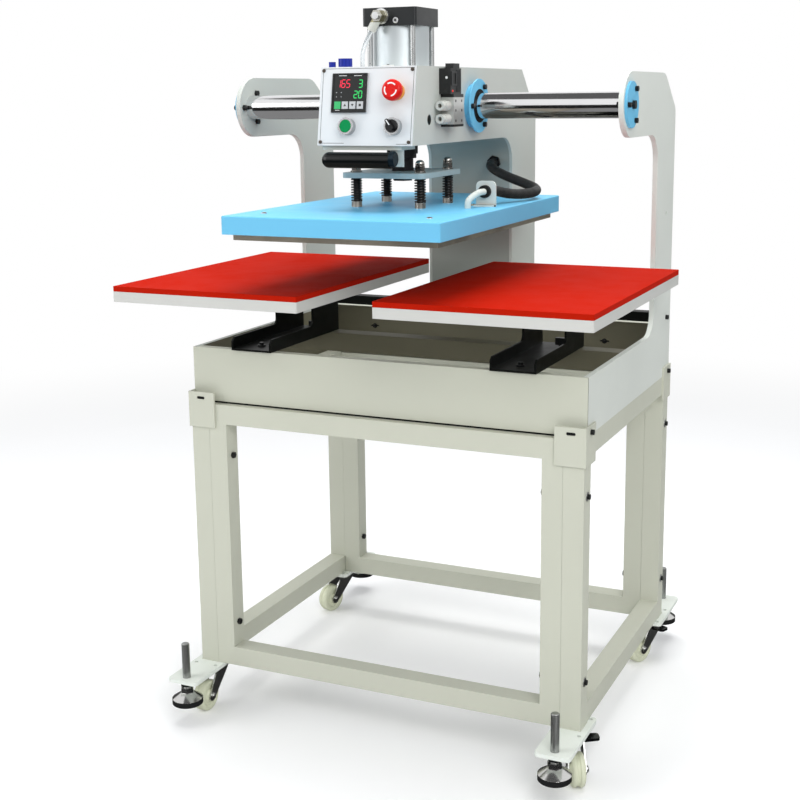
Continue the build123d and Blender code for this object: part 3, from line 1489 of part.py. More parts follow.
def biarc(start, start_heading, end, end_heading):
    """Two tangent arcs from one point and direction to another; returns the point where they join."""
    chord = end - start
    both = start_heading + end_heading
    bend = 2 * (1 - start_heading.dot(end_heading))
    reach = (-chord.dot(both) + sqrt(chord.dot(both) ** 2 + bend * chord.dot(chord))) / bend
    first_knee = start + start_heading * reach
    second_knee = end - end_heading * reach
    joint = (first_knee + second_knee) * 0.5
    TangentArc(start, joint, tangent=start_heading)
    TangentArc(joint, end, tangent=(second_knee - first_knee).normalized())
    return joint


up = Vector(0, 0, 1)
last_angle = 2 * pi * spring_turns
half_turns = 2 * spring_turns
with BuildPart() as spring:
    with BuildLine() as wire_path:
        first_place, first_heading = coil_point(0)
        last_place, last_heading = coil_point(last_angle)
        foot_top = Vector(
            spring_radius * cos(-end_bend_angle),
            spring_radius * sin(-end_bend_angle),
            spring_bottom_z + spring_wire,
        )
        head_bottom = Vector(
            spring_radius * cos(last_angle + end_bend_angle),
            spring_radius * sin(last_angle + end_bend_angle),
            spring_top_z - spring_wire,
        )
        Line(foot_top - up * spring_wire, foot_top)
        biarc(foot_top, up, first_place, first_heading)
        for number in range(half_turns):
            here, here_heading = coil_point(number * pi)
            there, there_heading = coil_point((number + 1) * pi)
            biarc(here, here_heading, there, there_heading)
        biarc(last_place, last_heading, head_bottom, up)
        Line(head_bottom, head_bottom + up * spring_wire)
    wire = wire_path.wire()
    with BuildSketch(Plane(origin=wire @ 0, z_dir=up)):
        RegularPolygon(spring_wire / 2, 8)
    sweep(path=wire)
sample_count = 400
samples = [wire @ (n / sample_count) for n in range(sample_count + 1)]
near_along = int(4 * spring_wire / wire.length * sample_count) + 1
least_gap = min(
    (there - here).length
    for number, here in enumerate(samples)
    for there in samples[number + near_along :]
)
print("spring turns", spring_turns, "pitch", round(spring_pitch, 2))
print("spring least self gap", round(least_gap - spring_wire, 2))
bolt_places = [Location((sx * spring_bolt_x, platen_center_y + sy * spring_bolt_y, 0)) for sx, sy in corners]
save(Compound([place * spring.part for place in bolt_places]), "springs")

# Platen cover: a deep tray of folded sheet, open below
cover_radius = 3.0
with BuildPart() as platen_cover:
    with BuildSketch(Plane.XY.offset(cover_bottom_z)):
        with Locations((0, platen_center_y)):
            RectangleRounded(cover_width, cover_length, cover_radius)
    extrude(amount=cover_height)
    fillet(platen_cover.edges().group_by(Axis.Z)[-1], cover_radius - 0.5)
    with BuildSketch(Plane.XY.offset(cover_bottom_z)):
        with Locations((0, platen_center_y)):
            Rectangle(cover_width - 2 * cover_wall, cover_length - 2 * cover_wall)
    extrude(amount=cover_height - cover_wall, mode=Mode.SUBTRACT)
save(platen_cover.part, "platen_cover")

# Heater plate: cast plate with bosses that the cover is screwed to
heater_thickness = 18.0
boss_diameter = 24.0
boss_x = 170.0
boss_y = 270.0
with BuildPart() as heater_plate:
    with BuildSketch(Plane.XY.offset(heater_bottom_z)):
        with Locations((0, platen_center_y)):
            RectangleRounded(heater_width, heater_length, cover_radius)
    extrude(amount=heater_thickness)
    with BuildSketch(Plane.XY.offset(heater_bottom_z + heater_thickness)):
        with Locations((0, platen_center_y)):
            with GridLocations(2 * boss_x, 2 * boss_y, 2, 2):
                Circle(boss_diameter / 2)
            with GridLocations(2 * spring_bolt_x, 2 * spring_bolt_y, 2, 2):
                Circle(boss_diameter / 2)
    extrude(amount=cover_top_z - cover_wall - heater_bottom_z - heater_thickness)
save(heater_plate.part, "heater_plate")

# Cable bracket: folded tab on the platen cover that holds the end of the conduit, with the grommet
# through which the white lead leaves for the cover
bracket_left_x = 148.0
bracket_tab_width = 40.0
bracket_tab_height = 48.0
bracket_tab_y = -130.0
bracket_tab_corner = 10.0
bracket_foot = 14.0
grommet_x = 167.0
grommet_rise = 28.0
grommet_z = cover_top_z + grommet_rise
grommet_radius = 12.0
grommet_length = 8.0
lead_diameter = 12.0
lead_start_y = bracket_tab_y - cover_wall - grommet_length
with BuildPart() as cable_tab:
    with BuildSketch(Plane.XZ.offset(-bracket_tab_y)) as tab_face:
        with Locations((bracket_left_x, cover_top_z)):
            Rectangle(bracket_tab_width, bracket_tab_height, align=(Align.MIN, Align.MIN))
        fillet(tab_face.vertices().group_by(Axis.Y)[-1], bracket_tab_corner)
    extrude(amount=cover_wall)
    with BuildSketch(Plane.XY.offset(cover_top_z)):
        with Locations((bracket_left_x, bracket_tab_y)):
            Rectangle(bracket_tab_width, bracket_foot + cover_wall, align=(Align.MIN, Align.MAX))
    extrude(amount=cover_wall)
    with BuildSketch(Plane.XZ.offset(-bracket_tab_y + cover_wall)):
        with Locations((grommet_x, grommet_z)):
            Circle(grommet_radius)
    extrude(amount=grommet_length)
lead_points = [
    (grommet_x, lead_start_y, grommet_z),
    (grommet_x - 3, lead_start_y - 18, grommet_z),
    (grommet_x - 10, lead_start_y - 34, grommet_z - 7),
    (grommet_x - 15, lead_start_y - 45, cover_top_z + 13),
    (grommet_x - 15, lead_start_y - 45, cover_top_z),
]
cable_lead = tube_along(lead_points, lead_diameter, "cable lead")
save(Compound([cable_tab.part, cable_lead]), "cable_bracket")

# Conduit: sleeved supply cable from the head column to the bracket on the platen cover
conduit_points = [
    (conduit_hole_x, head_column_front_y + 14, conduit_hole_z),
    (56.5, 194.0, conduit_hole_z - 1),
    (62.0, 168.0, conduit_hole_z - 4),
    (76.0, 146.0, conduit_hole_z - 10),
    (98.0, 129.0, conduit_hole_z - 18),
    (126.0, 119.0, cover_top_z + 38),
    (155.0, 113.0, cover_top_z + 29),
    (182.0, 99.0, cover_top_z + 22),
    (199.0, 76.0, cover_top_z + 17.5),
    (203.0, 47.0, cover_top_z + 15),
    (197.0, 15.0, cover_top_z + 14),
    (187.0, -17.0, cover_top_z + 15),
    (176.0, -48.0, cover_top_z + 19),
    (168.5, -78.0, cover_top_z + 25.5),
    (grommet_x, -104.0, grommet_z),
    (grommet_x, bracket_tab_y, grommet_z),
]
save(tube_along(conduit_points, conduit_diameter, "conduit"), "conduit")
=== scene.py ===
"""Looks of a two station pneumatic heat press: paints, chrome, instruments, hoses, studio and camera."""

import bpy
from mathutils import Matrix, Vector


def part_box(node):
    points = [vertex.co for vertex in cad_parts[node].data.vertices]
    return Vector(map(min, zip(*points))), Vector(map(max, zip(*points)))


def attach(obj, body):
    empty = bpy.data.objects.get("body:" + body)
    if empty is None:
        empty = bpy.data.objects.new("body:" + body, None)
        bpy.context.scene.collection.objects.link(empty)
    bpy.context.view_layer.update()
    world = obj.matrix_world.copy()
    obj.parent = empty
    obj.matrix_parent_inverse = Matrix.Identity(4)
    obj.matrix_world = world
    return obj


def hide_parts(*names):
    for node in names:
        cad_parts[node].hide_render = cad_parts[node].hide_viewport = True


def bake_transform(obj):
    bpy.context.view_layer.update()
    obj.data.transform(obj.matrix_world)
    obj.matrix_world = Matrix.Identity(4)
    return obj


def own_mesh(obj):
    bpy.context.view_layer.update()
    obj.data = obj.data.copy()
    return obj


bl_info = {
    "name": "Two station heat press",
    "version": (1, 0, 0),
    "blender": (4, 5, 0),
    "location": "View3D > Sidebar > Heat press",
    "description": "Dresses the heat press with its paints, instruments, hoses and springs",
    "category": "Object",
}

from math import atan2, cos, pi, radians, sin, tau

import bmesh
import bpy
from bpy.props import FloatProperty, FloatVectorProperty, IntProperty, PointerProperty
from mathutils import Matrix, Vector

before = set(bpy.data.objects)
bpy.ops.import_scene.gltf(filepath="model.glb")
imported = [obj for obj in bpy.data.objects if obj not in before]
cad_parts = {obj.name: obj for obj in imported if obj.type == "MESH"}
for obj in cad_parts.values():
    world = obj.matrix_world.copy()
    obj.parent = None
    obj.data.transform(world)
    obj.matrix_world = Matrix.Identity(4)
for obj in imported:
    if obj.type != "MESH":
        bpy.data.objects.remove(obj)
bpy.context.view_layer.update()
MM = 0.001

# Where two finishes meet on one piece, in metres
FOOT_SOLE_TOP = 0.0535
FOOT_HEX_TOP = 0.0795
PANEL_HALF = 0.100
LOWER_CAP_TOP = 1.2145
UPPER_CAP_BOTTOM = 1.3940
CAP_FRONT = -0.1998
ELBOW_BACK = -0.2038
ELBOW_FRONT = -0.2237
ELBOW_BOTTOM = 1.4000
VALVE_FOOT_TOP = 1.2125
VALVE_BLOCK_TOP = 1.2620
VALVE_FRONT = -0.18205
GRIP_END = 0.0551
COUPLER_TOP = 1.1475
GROMMET_BACK = -0.13305
GROMMET_FRONT = -0.1411
STOP_RING_LEFT = 0.0355
STOP_RING_LOW = 1.2355
# The inner faces of the end plates and the tray, and the tray's rim: where the painted shade inside the
# tray begins and ends
END_INNER = 0.4060
TRAY_FRONT_INNER = -0.2690
TRAY_REAR_INNER = 0.3435
TRAY_RIM = 0.7705
SPRING_SEAT = 1.0682
SPRING_TOP = 1.1139

# Axis and radius of the slide bar
BAR_Y, BAR_Z, BAR_RADIUS = -0.024, 1.2448, 0.025

# Directions: to the right, to the back and up
ACROSS, BACK, UP = Vector((1, 0, 0)), Vector((0, 1, 0)), Vector((0, 0, 1))

# Colours that several finishes share
BLACK = (0.010, 0.011, 0.011)
# Painted highlight: the near white on the broken edges of the stand, foot plate and press paints, for the
# light that edges catch
EDGE_HIGHLIGHT = (0.82, 0.82, 0.77)


# Sizes and colours that a user would change

class CameraSettings(bpy.types.PropertyGroup):
    position: FloatVectorProperty(
        name="Position", description="Where the camera stands", subtype="TRANSLATION", unit="LENGTH",
        default=(1.07325, -2.48886, 1.26671))
    yaw: FloatProperty(name="Yaw", description="Turn to the left", subtype="ANGLE", default=radians(24.65))
    pitch: FloatProperty(name="Pitch", description="Tilt upward", subtype="ANGLE", default=radians(-11.2))
    roll: FloatProperty(name="Roll", description="Lean of the picture", subtype="ANGLE",
                        default=radians(-0.65))
    focal_pixels: FloatProperty(name="Focal length", description="In pixels of the picture",
                                default=1320.99)
    centre_x: FloatProperty(name="Centre across", description="Pixel that the axis meets", default=403.54)
    centre_y: FloatProperty(name="Centre down", description="Pixel that the axis meets", default=356.86)
    picture: IntProperty(name="Picture", description="Side of the square picture in pixels", default=800)


class StudioSettings(bpy.types.PropertyGroup):
    key_power: FloatProperty(name="Key lamp", description="Large soft lamp at the front right",
                             unit="POWER", default=76.0)
    fill_power: FloatProperty(name="Fill lamp", description="Soft lamp at the front left", unit="POWER",
                              default=55.0)
    top_power: FloatProperty(name="Top lamp", description="Soft lamp overhead", unit="POWER", default=96.0)
    sky: FloatProperty(name="Sky", description="Even light from all round", default=0.46)
    floor_radius: FloatProperty(name="Floor", description="Radius of the floor", unit="LENGTH",
                                default=20.0)
    lift: FloatProperty(name="Lift", description="How far the floor near the press is brought up to white",
                        default=0.12)
    flag_radius: FloatProperty(name="Flags", description="Radius of the dark flags that chrome reflects",
                               unit="LENGTH", default=3.9)
    flag_height: FloatProperty(name="Flag height", description="Height of the dark flags", unit="LENGTH",
                               default=1.35)


class PaintSettings(bpy.types.PropertyGroup):
    stand: FloatVectorProperty(name="Stand", description="Warm grey powder coat", subtype="COLOR",
                               default=(0.585, 0.595, 0.500))
    press: FloatVectorProperty(name="Press", description="Cool light grey paint", subtype="COLOR",
                               default=(0.565, 0.595, 0.555))
    # Painted shade: press paint darkened for the shade inside the head
    liner: FloatVectorProperty(name="Liner", description="Press paint darkened inside the head: painted shade", subtype="COLOR",
                               default=(0.35, 0.37, 0.34))
    spring_plate: FloatVectorProperty(name="Spring plate", description="Blue grey paint", subtype="COLOR",
                                      default=(0.38, 0.46, 0.47))
    tab: FloatVectorProperty(name="Cable tab", description="Cream white paint", subtype="COLOR",
                             default=(0.72, 0.74, 0.69))
    # Painted light: the right end plate's paint lightened for the light on its outer face
    lit_outer_plate: FloatVectorProperty(name="Outer plate", description="Lighter grey of the right end plate: painted light",
                                     subtype="COLOR", default=(0.70, 0.73, 0.68))
    # Painted shade: dark colour for the tray's inner faces, its cross rail and the end plates' inner faces,
    # which the platens shade
    inside: FloatVectorProperty(name="Tray inside", description="Dark colour inside the tray: painted shade",
                                subtype="COLOR", default=(0.170, 0.160, 0.110))
    nylon: FloatVectorProperty(name="Wheels", description="Cream nylon", subtype="COLOR",
                               default=(0.72, 0.74, 0.56))
    panel: FloatVectorProperty(name="Panel", description="White lacquer", subtype="COLOR",
                               default=(0.70, 0.72, 0.73))
    cover: FloatVectorProperty(name="Cover", description="Sky blue gloss", subtype="COLOR",
                               default=(0.165, 0.530, 0.790))
    silicone: FloatVectorProperty(name="Silicone", description="Red pads", subtype="COLOR",
                                  default=(0.45, 0.011, 0.002))
    platen: FloatVectorProperty(name="Lower platen", description="Pale coated aluminium", subtype="COLOR",
                                default=(0.60, 0.60, 0.57))
    edge_radius: FloatProperty(name="Edge radius", description="Softening of folded edges", unit="LENGTH",
                               default=0.0008)
    dust: FloatProperty(name="Dust", description="Share of dust on level faces", subtype="FACTOR",
                        min=0, max=1, default=0.10)


class PanelSettings(bpy.types.PropertyGroup):
    lowest_y: FloatProperty(name="Foot", description="Front of the panel at its lower edge", unit="LENGTH",
                            default=-0.3128)
    highest_y: FloatProperty(name="Head", description="Front of the panel at its upper edge", unit="LENGTH",
                             default=-0.2899)
    bottom: FloatProperty(name="Bottom", description="Height of the lower edge", unit="LENGTH",
                          default=1.1775)
    top: FloatProperty(name="Top", description="Height of the upper edge", unit="LENGTH", default=1.3185)
    window: FloatProperty(name="Window", description="Height of the instrument's window over the panel",
                          unit="LENGTH", default=0.0038)
    ink: FloatProperty(name="Ink", description="Thickness of printed marks", unit="LENGTH", default=0.00012)


class HoseSettings(bpy.types.PropertyGroup):
    sleeve_diameter: FloatProperty(name="Sleeve", description="Braided sleeve of the heater leads",
                                   unit="LENGTH", default=0.020)
    hose_diameter: FloatProperty(name="Air hose", description="Clear tube to the cylinder", unit="LENGTH",
                                 default=0.008)
    sides: IntProperty(name="Sides", description="Sides of a tube's mesh", default=24)


class SpringSettings(bpy.types.PropertyGroup):
    wire: FloatProperty(name="Wire", description="Wire of the platen springs", unit="LENGTH",
                        default=0.0031)
    outer: FloatProperty(name="Outer", description="Outer diameter of the springs", unit="LENGTH",
                         default=0.022)
    bottom: FloatProperty(name="Bottom", description="Height of the lower seat", unit="LENGTH",
                          default=1.0683)
    top: FloatProperty(name="Top", description="Height of the upper seat", unit="LENGTH",
                       default=1.1137)
    turns: FloatProperty(name="Turns", description="Turns of one spring", default=9.5)


settings_classes = (
    CameraSettings, StudioSettings, PaintSettings, PanelSettings, HoseSettings, SpringSettings)


# Node groups: effects that several finishes share

def add_node(tree, kind, **settings):
    node = tree.nodes.new(kind)
    for name, value in settings.items():
        setattr(node, name, value)
    return node


def feed(tree, socket, value):
    """Links a socket to another node's output, or sets it to a number or a colour."""
    if isinstance(value, bpy.types.NodeSocket):
        tree.links.new(value, socket)
    elif isinstance(value, (int, float)):
        socket.default_value = value
    elif value is not None:
        socket.default_value = (*value, 1)


def maths(tree, operation, first, second=None, third=None, clamp=False):
    node = add_node(tree, "ShaderNodeMath", operation=operation, use_clamp=clamp)
    for socket, value in zip(node.inputs, (first, second, third)):
        feed(tree, socket, value)
    return node.outputs[0]


def blend_colours(tree, factor, first, second):
    node = add_node(tree, "ShaderNodeMix", data_type="RGBA")
    for number, value in ((0, factor), (6, first), (7, second)):
        feed(tree, node.inputs[number], value)
    return node.outputs[2]


def blend_values(tree, factor, first, second):
    node = add_node(tree, "ShaderNodeMix", data_type="FLOAT")
    for number, value in ((0, factor), (2, first), (3, second)):
        feed(tree, node.inputs[number], value)
    return node.outputs[0]


def smooth_range(tree, value, low, high, to_low=0.0, to_high=1.0):
    node = add_node(tree, "ShaderNodeMapRange", interpolation_type="SMOOTHSTEP")
    tree.links.new(value, node.inputs["Value"])
    node.inputs["From Min"].default_value = low
    node.inputs["From Max"].default_value = high
    node.inputs["To Min"].default_value = to_low
    node.inputs["To Max"].default_value = to_high
    return node.outputs["Result"]


def background_rays(tree):
    """1 for the rays that look at the background: the camera's, and those off gloss or through glass."""
    rays = add_node(tree, "ShaderNodeLightPath").outputs
    seen = maths(tree, "MAXIMUM", rays["Is Camera Ray"], rays["Is Glossy Ray"])
    return maths(tree, "MAXIMUM", seen, rays["Is Transmission Ray"])


def place(tree):
    """The point in metres on the piece itself, and its three coordinates."""
    where = add_node(tree, "ShaderNodeTexCoord").outputs["Object"]
    parts = add_node(tree, "ShaderNodeSeparateXYZ")
    tree.links.new(where, parts.inputs[0])
    return where, parts.outputs


def noise(tree, where, scale, detail=2.0, roughness=0.5):
    node = add_node(tree, "ShaderNodeTexNoise")
    node.inputs["Scale"].default_value = scale
    node.inputs["Detail"].default_value = detail
    node.inputs["Roughness"].default_value = roughness
    tree.links.new(where, node.inputs["Vector"])
    return node.outputs["Fac"]


def new_group(name, inputs, outputs):
    """A shader node group: (name, kind, default) for each input, (name, kind) for each output."""
    group = bpy.data.node_groups.new(name, "ShaderNodeTree")
    for label, kind, default in inputs:
        socket = group.interface.new_socket(name=label, in_out="INPUT", socket_type=kind)
        socket.default_value = default
    for label, kind in outputs:
        group.interface.new_socket(name=label, in_out="OUTPUT", socket_type=kind)
    return group, add_node(group, "NodeGroupInput"), add_node(group, "NodeGroupOutput")


# A mask on broken edges. Its colour is metal showing through chips on most finishes, and a painted
# highlight on the stand, foot plates, press and blue cover
def build_edge_marks():
    group, given, result = new_group(
        "edge marks",
        (("Radius", "NodeSocketFloat", 0.0008), ("Amount", "NodeSocketFloat", 0.3),
         ("Breakup", "NodeSocketFloat", 60.0)),
        (("Mask", "NodeSocketFloat"), ("Normal", "NodeSocketVector")))
    bevel = add_node(group, "ShaderNodeBevel", samples=6)
    group.links.new(given.outputs["Radius"], bevel.inputs["Radius"])
    geometry = add_node(group, "ShaderNodeNewGeometry")
    dot = add_node(group, "ShaderNodeVectorMath", operation="DOT_PRODUCT")
    group.links.new(bevel.outputs[0], dot.inputs[0])
    group.links.new(geometry.outputs["Normal"], dot.inputs[1])
    turned = maths(group, "SUBTRACT", 1.0, dot.outputs["Value"])
    where, _ = place(group)
    speckle = add_node(group, "ShaderNodeTexNoise")
    speckle.inputs["Detail"].default_value = 4
    group.links.new(given.outputs["Breakup"], speckle.inputs["Scale"])
    group.links.new(where, speckle.inputs["Vector"])
    broken = smooth_range(group, speckle.outputs["Fac"], 0.50, 0.66)
    edge = smooth_range(group, turned, 0.02, 0.16)
    mask = maths(group, "MULTIPLY", edge, broken)
    mask = maths(group, "MULTIPLY", mask, given.outputs["Amount"], clamp=True)
    group.links.new(mask, result.inputs["Mask"])
    group.links.new(bevel.outputs[0], result.inputs["Normal"])
    return group


def build_paint_skin():
    group, given, result = new_group(
        "paint skin",
        (("Colour", "NodeSocketColor", (0.6, 0.6, 0.6, 1)), ("Mottle", "NodeSocketFloat", 0.04),
         ("Peel", "NodeSocketFloat", 900.0)),
        (("Colour", "NodeSocketColor"), ("Smear", "NodeSocketFloat"), ("Height", "NodeSocketFloat")))
    where, _ = place(group)
    broad = noise(group, where, 5.0, 3)
    swing = maths(group, "MULTIPLY", maths(group, "SUBTRACT", broad, 0.5), given.outputs["Mottle"])
    shade = maths(group, "ADD", swing, 1.0)
    tint = add_node(group, "ShaderNodeVectorMath", operation="SCALE")
    group.links.new(given.outputs["Colour"], tint.inputs[0])
    group.links.new(shade, tint.inputs["Scale"])
    peel = add_node(group, "ShaderNodeTexNoise")
    peel.inputs["Detail"].default_value = 1
    group.links.new(given.outputs["Peel"], peel.inputs["Scale"])
    group.links.new(where, peel.inputs["Vector"])
    smear = smooth_range(group, noise(group, where, 14.0, 5, 0.65), 0.35, 0.75)
    group.links.new(tint.outputs["Vector"], result.inputs["Colour"])
    group.links.new(smear, result.inputs["Smear"])
    group.links.new(peel.outputs["Fac"], result.inputs["Height"])
    return group


def build_settled_dust():
    group, given, result = new_group(
        "settled dust", (("Amount", "NodeSocketFloat", 0.1),), (("Mask", "NodeSocketFloat"),))
    geometry = add_node(group, "ShaderNodeNewGeometry")
    parts = add_node(group, "ShaderNodeSeparateXYZ")
    group.links.new(geometry.outputs["Normal"], parts.inputs[0])
    level = smooth_range(group, parts.outputs["Z"], 0.55, 1.0)
    where, _ = place(group)
    patches = smooth_range(group, noise(group, where, 22.0, 6, 0.7), 0.42, 0.78)
    mask = maths(group, "MULTIPLY", level, patches)
    mask = maths(group, "MULTIPLY", mask, given.outputs["Amount"], clamp=True)
    group.links.new(mask, result.inputs["Mask"])
    return group


def build_drawn_lines():
    group, given, result = new_group(
        "drawn lines",
        (("Stretch", "NodeSocketVector", (10.0, 900.0, 900.0)),),
        (("Line", "NodeSocketFloat"), ("Tone", "NodeSocketFloat")))
    where, _ = place(group)
    spread = add_node(group, "ShaderNodeVectorMath", operation="MULTIPLY")
    group.links.new(where, spread.inputs[0])
    group.links.new(given.outputs["Stretch"], spread.inputs[1])
    group.links.new(noise(group, spread.outputs[0], 1.0, 2), result.inputs["Line"])
    group.links.new(noise(group, where, 9.0, 4), result.inputs["Tone"])
    return group


def build_sleeve_braid():
    group, given, result = new_group(
        "sleeve braid",
        (("Around", "NodeSocketFloat", 28.0), ("Along", "NodeSocketFloat", 420.0)),
        (("Height", "NodeSocketFloat"), ("Shade", "NodeSocketFloat")))
    chart = add_node(group, "ShaderNodeUVMap", uv_map="sleeve")
    parts = add_node(group, "ShaderNodeSeparateXYZ")
    group.links.new(chart.outputs[0], parts.inputs[0])
    across = maths(group, "MULTIPLY", parts.outputs["X"], given.outputs["Around"])
    along = maths(group, "MULTIPLY", parts.outputs["Y"], given.outputs["Along"])
    waves = []
    for sign in ("ADD", "SUBTRACT"):
        slanted = maths(group, sign, across, along)
        waves.append(maths(group, "ABSOLUTE", maths(group, "SINE", maths(group, "MULTIPLY", slanted, pi))))
    height = maths(group, "MAXIMUM", waves[0], waves[1])
    group.links.new(height, result.inputs["Height"])
    group.links.new(smooth_range(group, height, 0.55, 1.0), result.inputs["Shade"])
    return group


effects = {}


def build_effects():
    effects.update({
        "edges": build_edge_marks(),
        "skin": build_paint_skin(),
        "dust": build_settled_dust(),
        "lines": build_drawn_lines(),
        "braid": build_sleeve_braid(),
    })


def use_effect(tree, effect, **values):
    node = add_node(tree, "ShaderNodeGroup", node_tree=effects[effect])
    for label, value in values.items():
        if isinstance(value, bpy.types.NodeSocket):
            tree.links.new(value, node.inputs[label])
        else:
            node.inputs[label].default_value = value
    return node.outputs


# Finishes

def new_finish(name, **constants):
    """A material with its Principled shader. Constants go straight onto the shader's own sockets."""
    material = bpy.data.materials.new(name)
    material.use_nodes = True
    tree = material.node_tree
    tree.nodes.clear()
    surface = add_node(tree, "ShaderNodeOutputMaterial")
    shader = add_node(tree, "ShaderNodeBsdfPrincipled")
    tree.links.new(shader.outputs[0], surface.inputs["Surface"])
    for label, value in constants.items():
        shader.inputs[label.replace("_", " ")].default_value = value
    return material, tree, shader


def bump(tree, shader, height, strength, distance, normal=None):
    node = add_node(tree, "ShaderNodeBump")
    node.inputs["Strength"].default_value = strength
    node.inputs["Distance"].default_value = distance
    tree.links.new(height, node.inputs["Height"])
    if normal is not None:
        tree.links.new(normal, node.inputs["Normal"])
    tree.links.new(node.outputs[0], shader.inputs["Normal"])


def roughen(tree, shader, smear, swing, rough):
    """Roughness that a smear raises by up to its swing."""
    tree.links.new(maths(tree, "MULTIPLY_ADD", smear, swing, rough), shader.inputs["Roughness"])


def painted(name, colour, gloss=0.38, mottle=0.05, peel=700.0, edge_mark=0.25, edge_chip_and_highlight=(0.36, 0.36, 0.35),
            dust=None, radius=None, level=0.25):
    """Paint on sheet metal: orange peel, faint mottling, smears, a colour on broken edges and some dust.
    The edge colour is metal showing through chips on most paints, and a painted highlight where it is near
    white on the stand, foot plates and press and light blue on the blue cover.
    """
    paint = bpy.context.scene.press_paint
    material, tree, shader = new_finish(name, Specular_IOR_Level=level)
    skin = use_effect(tree, "skin", Colour=(*colour, 1), Mottle=mottle, Peel=peel)
    edges = use_effect(tree, "edges", Radius=paint.edge_radius if radius is None else radius, Amount=edge_mark)
    settled = use_effect(tree, "dust", Amount=paint.dust if dust is None else dust)
    chipped_and_highlit = blend_colours(tree, edges["Mask"], skin["Colour"], edge_chip_and_highlight)
    tree.links.new(blend_colours(tree, settled["Mask"], chipped_and_highlit, (0.50, 0.48, 0.44)),
                   shader.inputs["Base Color"])
    smeared = maths(tree, "MULTIPLY_ADD", skin["Smear"], 0.10, gloss)
    rougher = maths(tree, "ADD", smeared, maths(tree, "MULTIPLY", settled["Mask"], 0.5), clamp=True)
    tree.links.new(rougher, shader.inputs["Roughness"])
    bump(tree, shader, skin["Height"], 0.25, 0.0002, edges["Normal"])
    return material


def bright_metal(name, colour, rough=0.22, stretch=(700.0, 700.0, 12.0), grain=0.12, tarnish=0.10, edge_mark=0.0,
                 radius=0.0004):
    """Plated, ground or cast metal with the lines of its last tool and a little uneven tone."""
    material, tree, shader = new_finish(name, Metallic=1.0)
    lines = use_effect(tree, "lines", Stretch=stretch)
    edges = use_effect(tree, "edges", Radius=radius, Amount=edge_mark)
    dull = tuple(c * (1 - tarnish) for c in colour)
    toned = blend_colours(tree, smooth_range(tree, lines["Tone"], 0.35, 0.70), colour, dull)
    tree.links.new(blend_colours(tree, edges["Mask"], toned, (0.9, 0.9, 0.9)), shader.inputs["Base Color"])
    roughen(tree, shader, lines["Line"], grain, rough)
    bump(tree, shader, lines["Line"], 0.08, 0.0001, edges["Normal"])
    return material


def moulded(name, colour, rough=0.30, grain_scale=1800.0, grain=0.15, coat=0.0, radius=0.0005, dust=0.05,
            speckle=0.03, level=0.3):
    """Moulded plastic or rubber: fine grain, smears, soft edges."""
    material, tree, shader = new_finish(name, Coat_Weight=coat, Coat_Roughness=0.08,
                                        Specular_IOR_Level=level)
    skin = use_effect(tree, "skin", Colour=(*colour, 1), Mottle=speckle, Peel=grain_scale)
    edges = use_effect(tree, "edges", Radius=radius, Amount=0.0)
    settled = use_effect(tree, "dust", Amount=dust)
    tree.links.new(blend_colours(tree, settled["Mask"], skin["Colour"], (0.45, 0.44, 0.42)),
                   shader.inputs["Base Color"])
    roughen(tree, shader, skin["Smear"], 0.12, rough)
    bump(tree, shader, skin["Height"], grain, 0.0001, edges["Normal"])
    return material


def layered(name, base, layers, grain=900.0, radius=0.0004, edge_mark=0.15, level=0.4):
    """One piece of several finishes that meet at lines on the piece, the later over the earlier.
    A finish is its colour, its roughness and whether it is metal. A layer is a mask and its finish."""
    tone, dull, metal = base
    material, tree, shader = new_finish(name, Specular_IOR_Level=level)
    axes = place(tree)[1]
    for mask_of, (colour, rough, shine) in layers:
        mask = mask_of(tree, axes)
        tone = blend_colours(tree, mask, tone, colour)
        dull = blend_values(tree, mask, dull, rough)
        metal = blend_values(tree, mask, metal, shine)
    edges = use_effect(tree, "edges", Radius=radius, Amount=edge_mark)
    skin = use_effect(tree, "skin", Colour=tone, Mottle=0.05, Peel=grain)
    tree.links.new(blend_colours(tree, edges["Mask"], skin["Colour"], (0.5, 0.5, 0.5)),
                   shader.inputs["Base Color"])
    roughen(tree, shader, skin["Smear"], 0.10, dull)
    tree.links.new(metal, shader.inputs["Metallic"])
    bump(tree, shader, skin["Height"], 0.12, 0.0001, edges["Normal"])
    return material


def painted_with_shade_inside(name, colour, inner_side):
    """Paint that is darker and duller on the inside of the tray, up to just under its rim: painted shade.
    """
    paint = bpy.context.scene.press_paint
    return layered(name, (colour, 0.42, 0.0),
                   [(both(inner_side, zone("Z", high=TRAY_RIM)), (paint.inside, 0.52, 0.0))],
                   grain=700.0, radius=paint.edge_radius, edge_mark=0.2, level=0.2)


def zone(axis, low=None, high=None):
    """A mask that is 1 between two limits along an axis, in metres, or past the one that is given."""
    soft = 0.00005

    def mask(tree, axes):
        sides = []
        if low is not None:
            sides.append(smooth_range(tree, axes[axis], low - soft, low + soft))
        if high is not None:
            sides.append(smooth_range(tree, axes[axis], high - soft, high + soft, 1.0, 0.0))
        return sides[0] if len(sides) == 1 else maths(tree, "MULTIPLY", *sides)
    return mask


def both(first, second):
    """A mask that is 1 where two masks are."""
    def mask(tree, axes):
        return maths(tree, "MULTIPLY", first(tree, axes), second(tree, axes))
    return mask


def lit(name, colour, strength):
    material, tree, shader = new_finish(
        name, Base_Color=(*(c * 0.4 for c in colour), 1), Roughness=0.3, Emission_Strength=strength)
    skin = use_effect(tree, "skin", Colour=(*colour, 1), Mottle=0.08, Peel=1500.0)
    tree.links.new(skin["Colour"], shader.inputs["Emission Color"])
    return material


finishes = {}


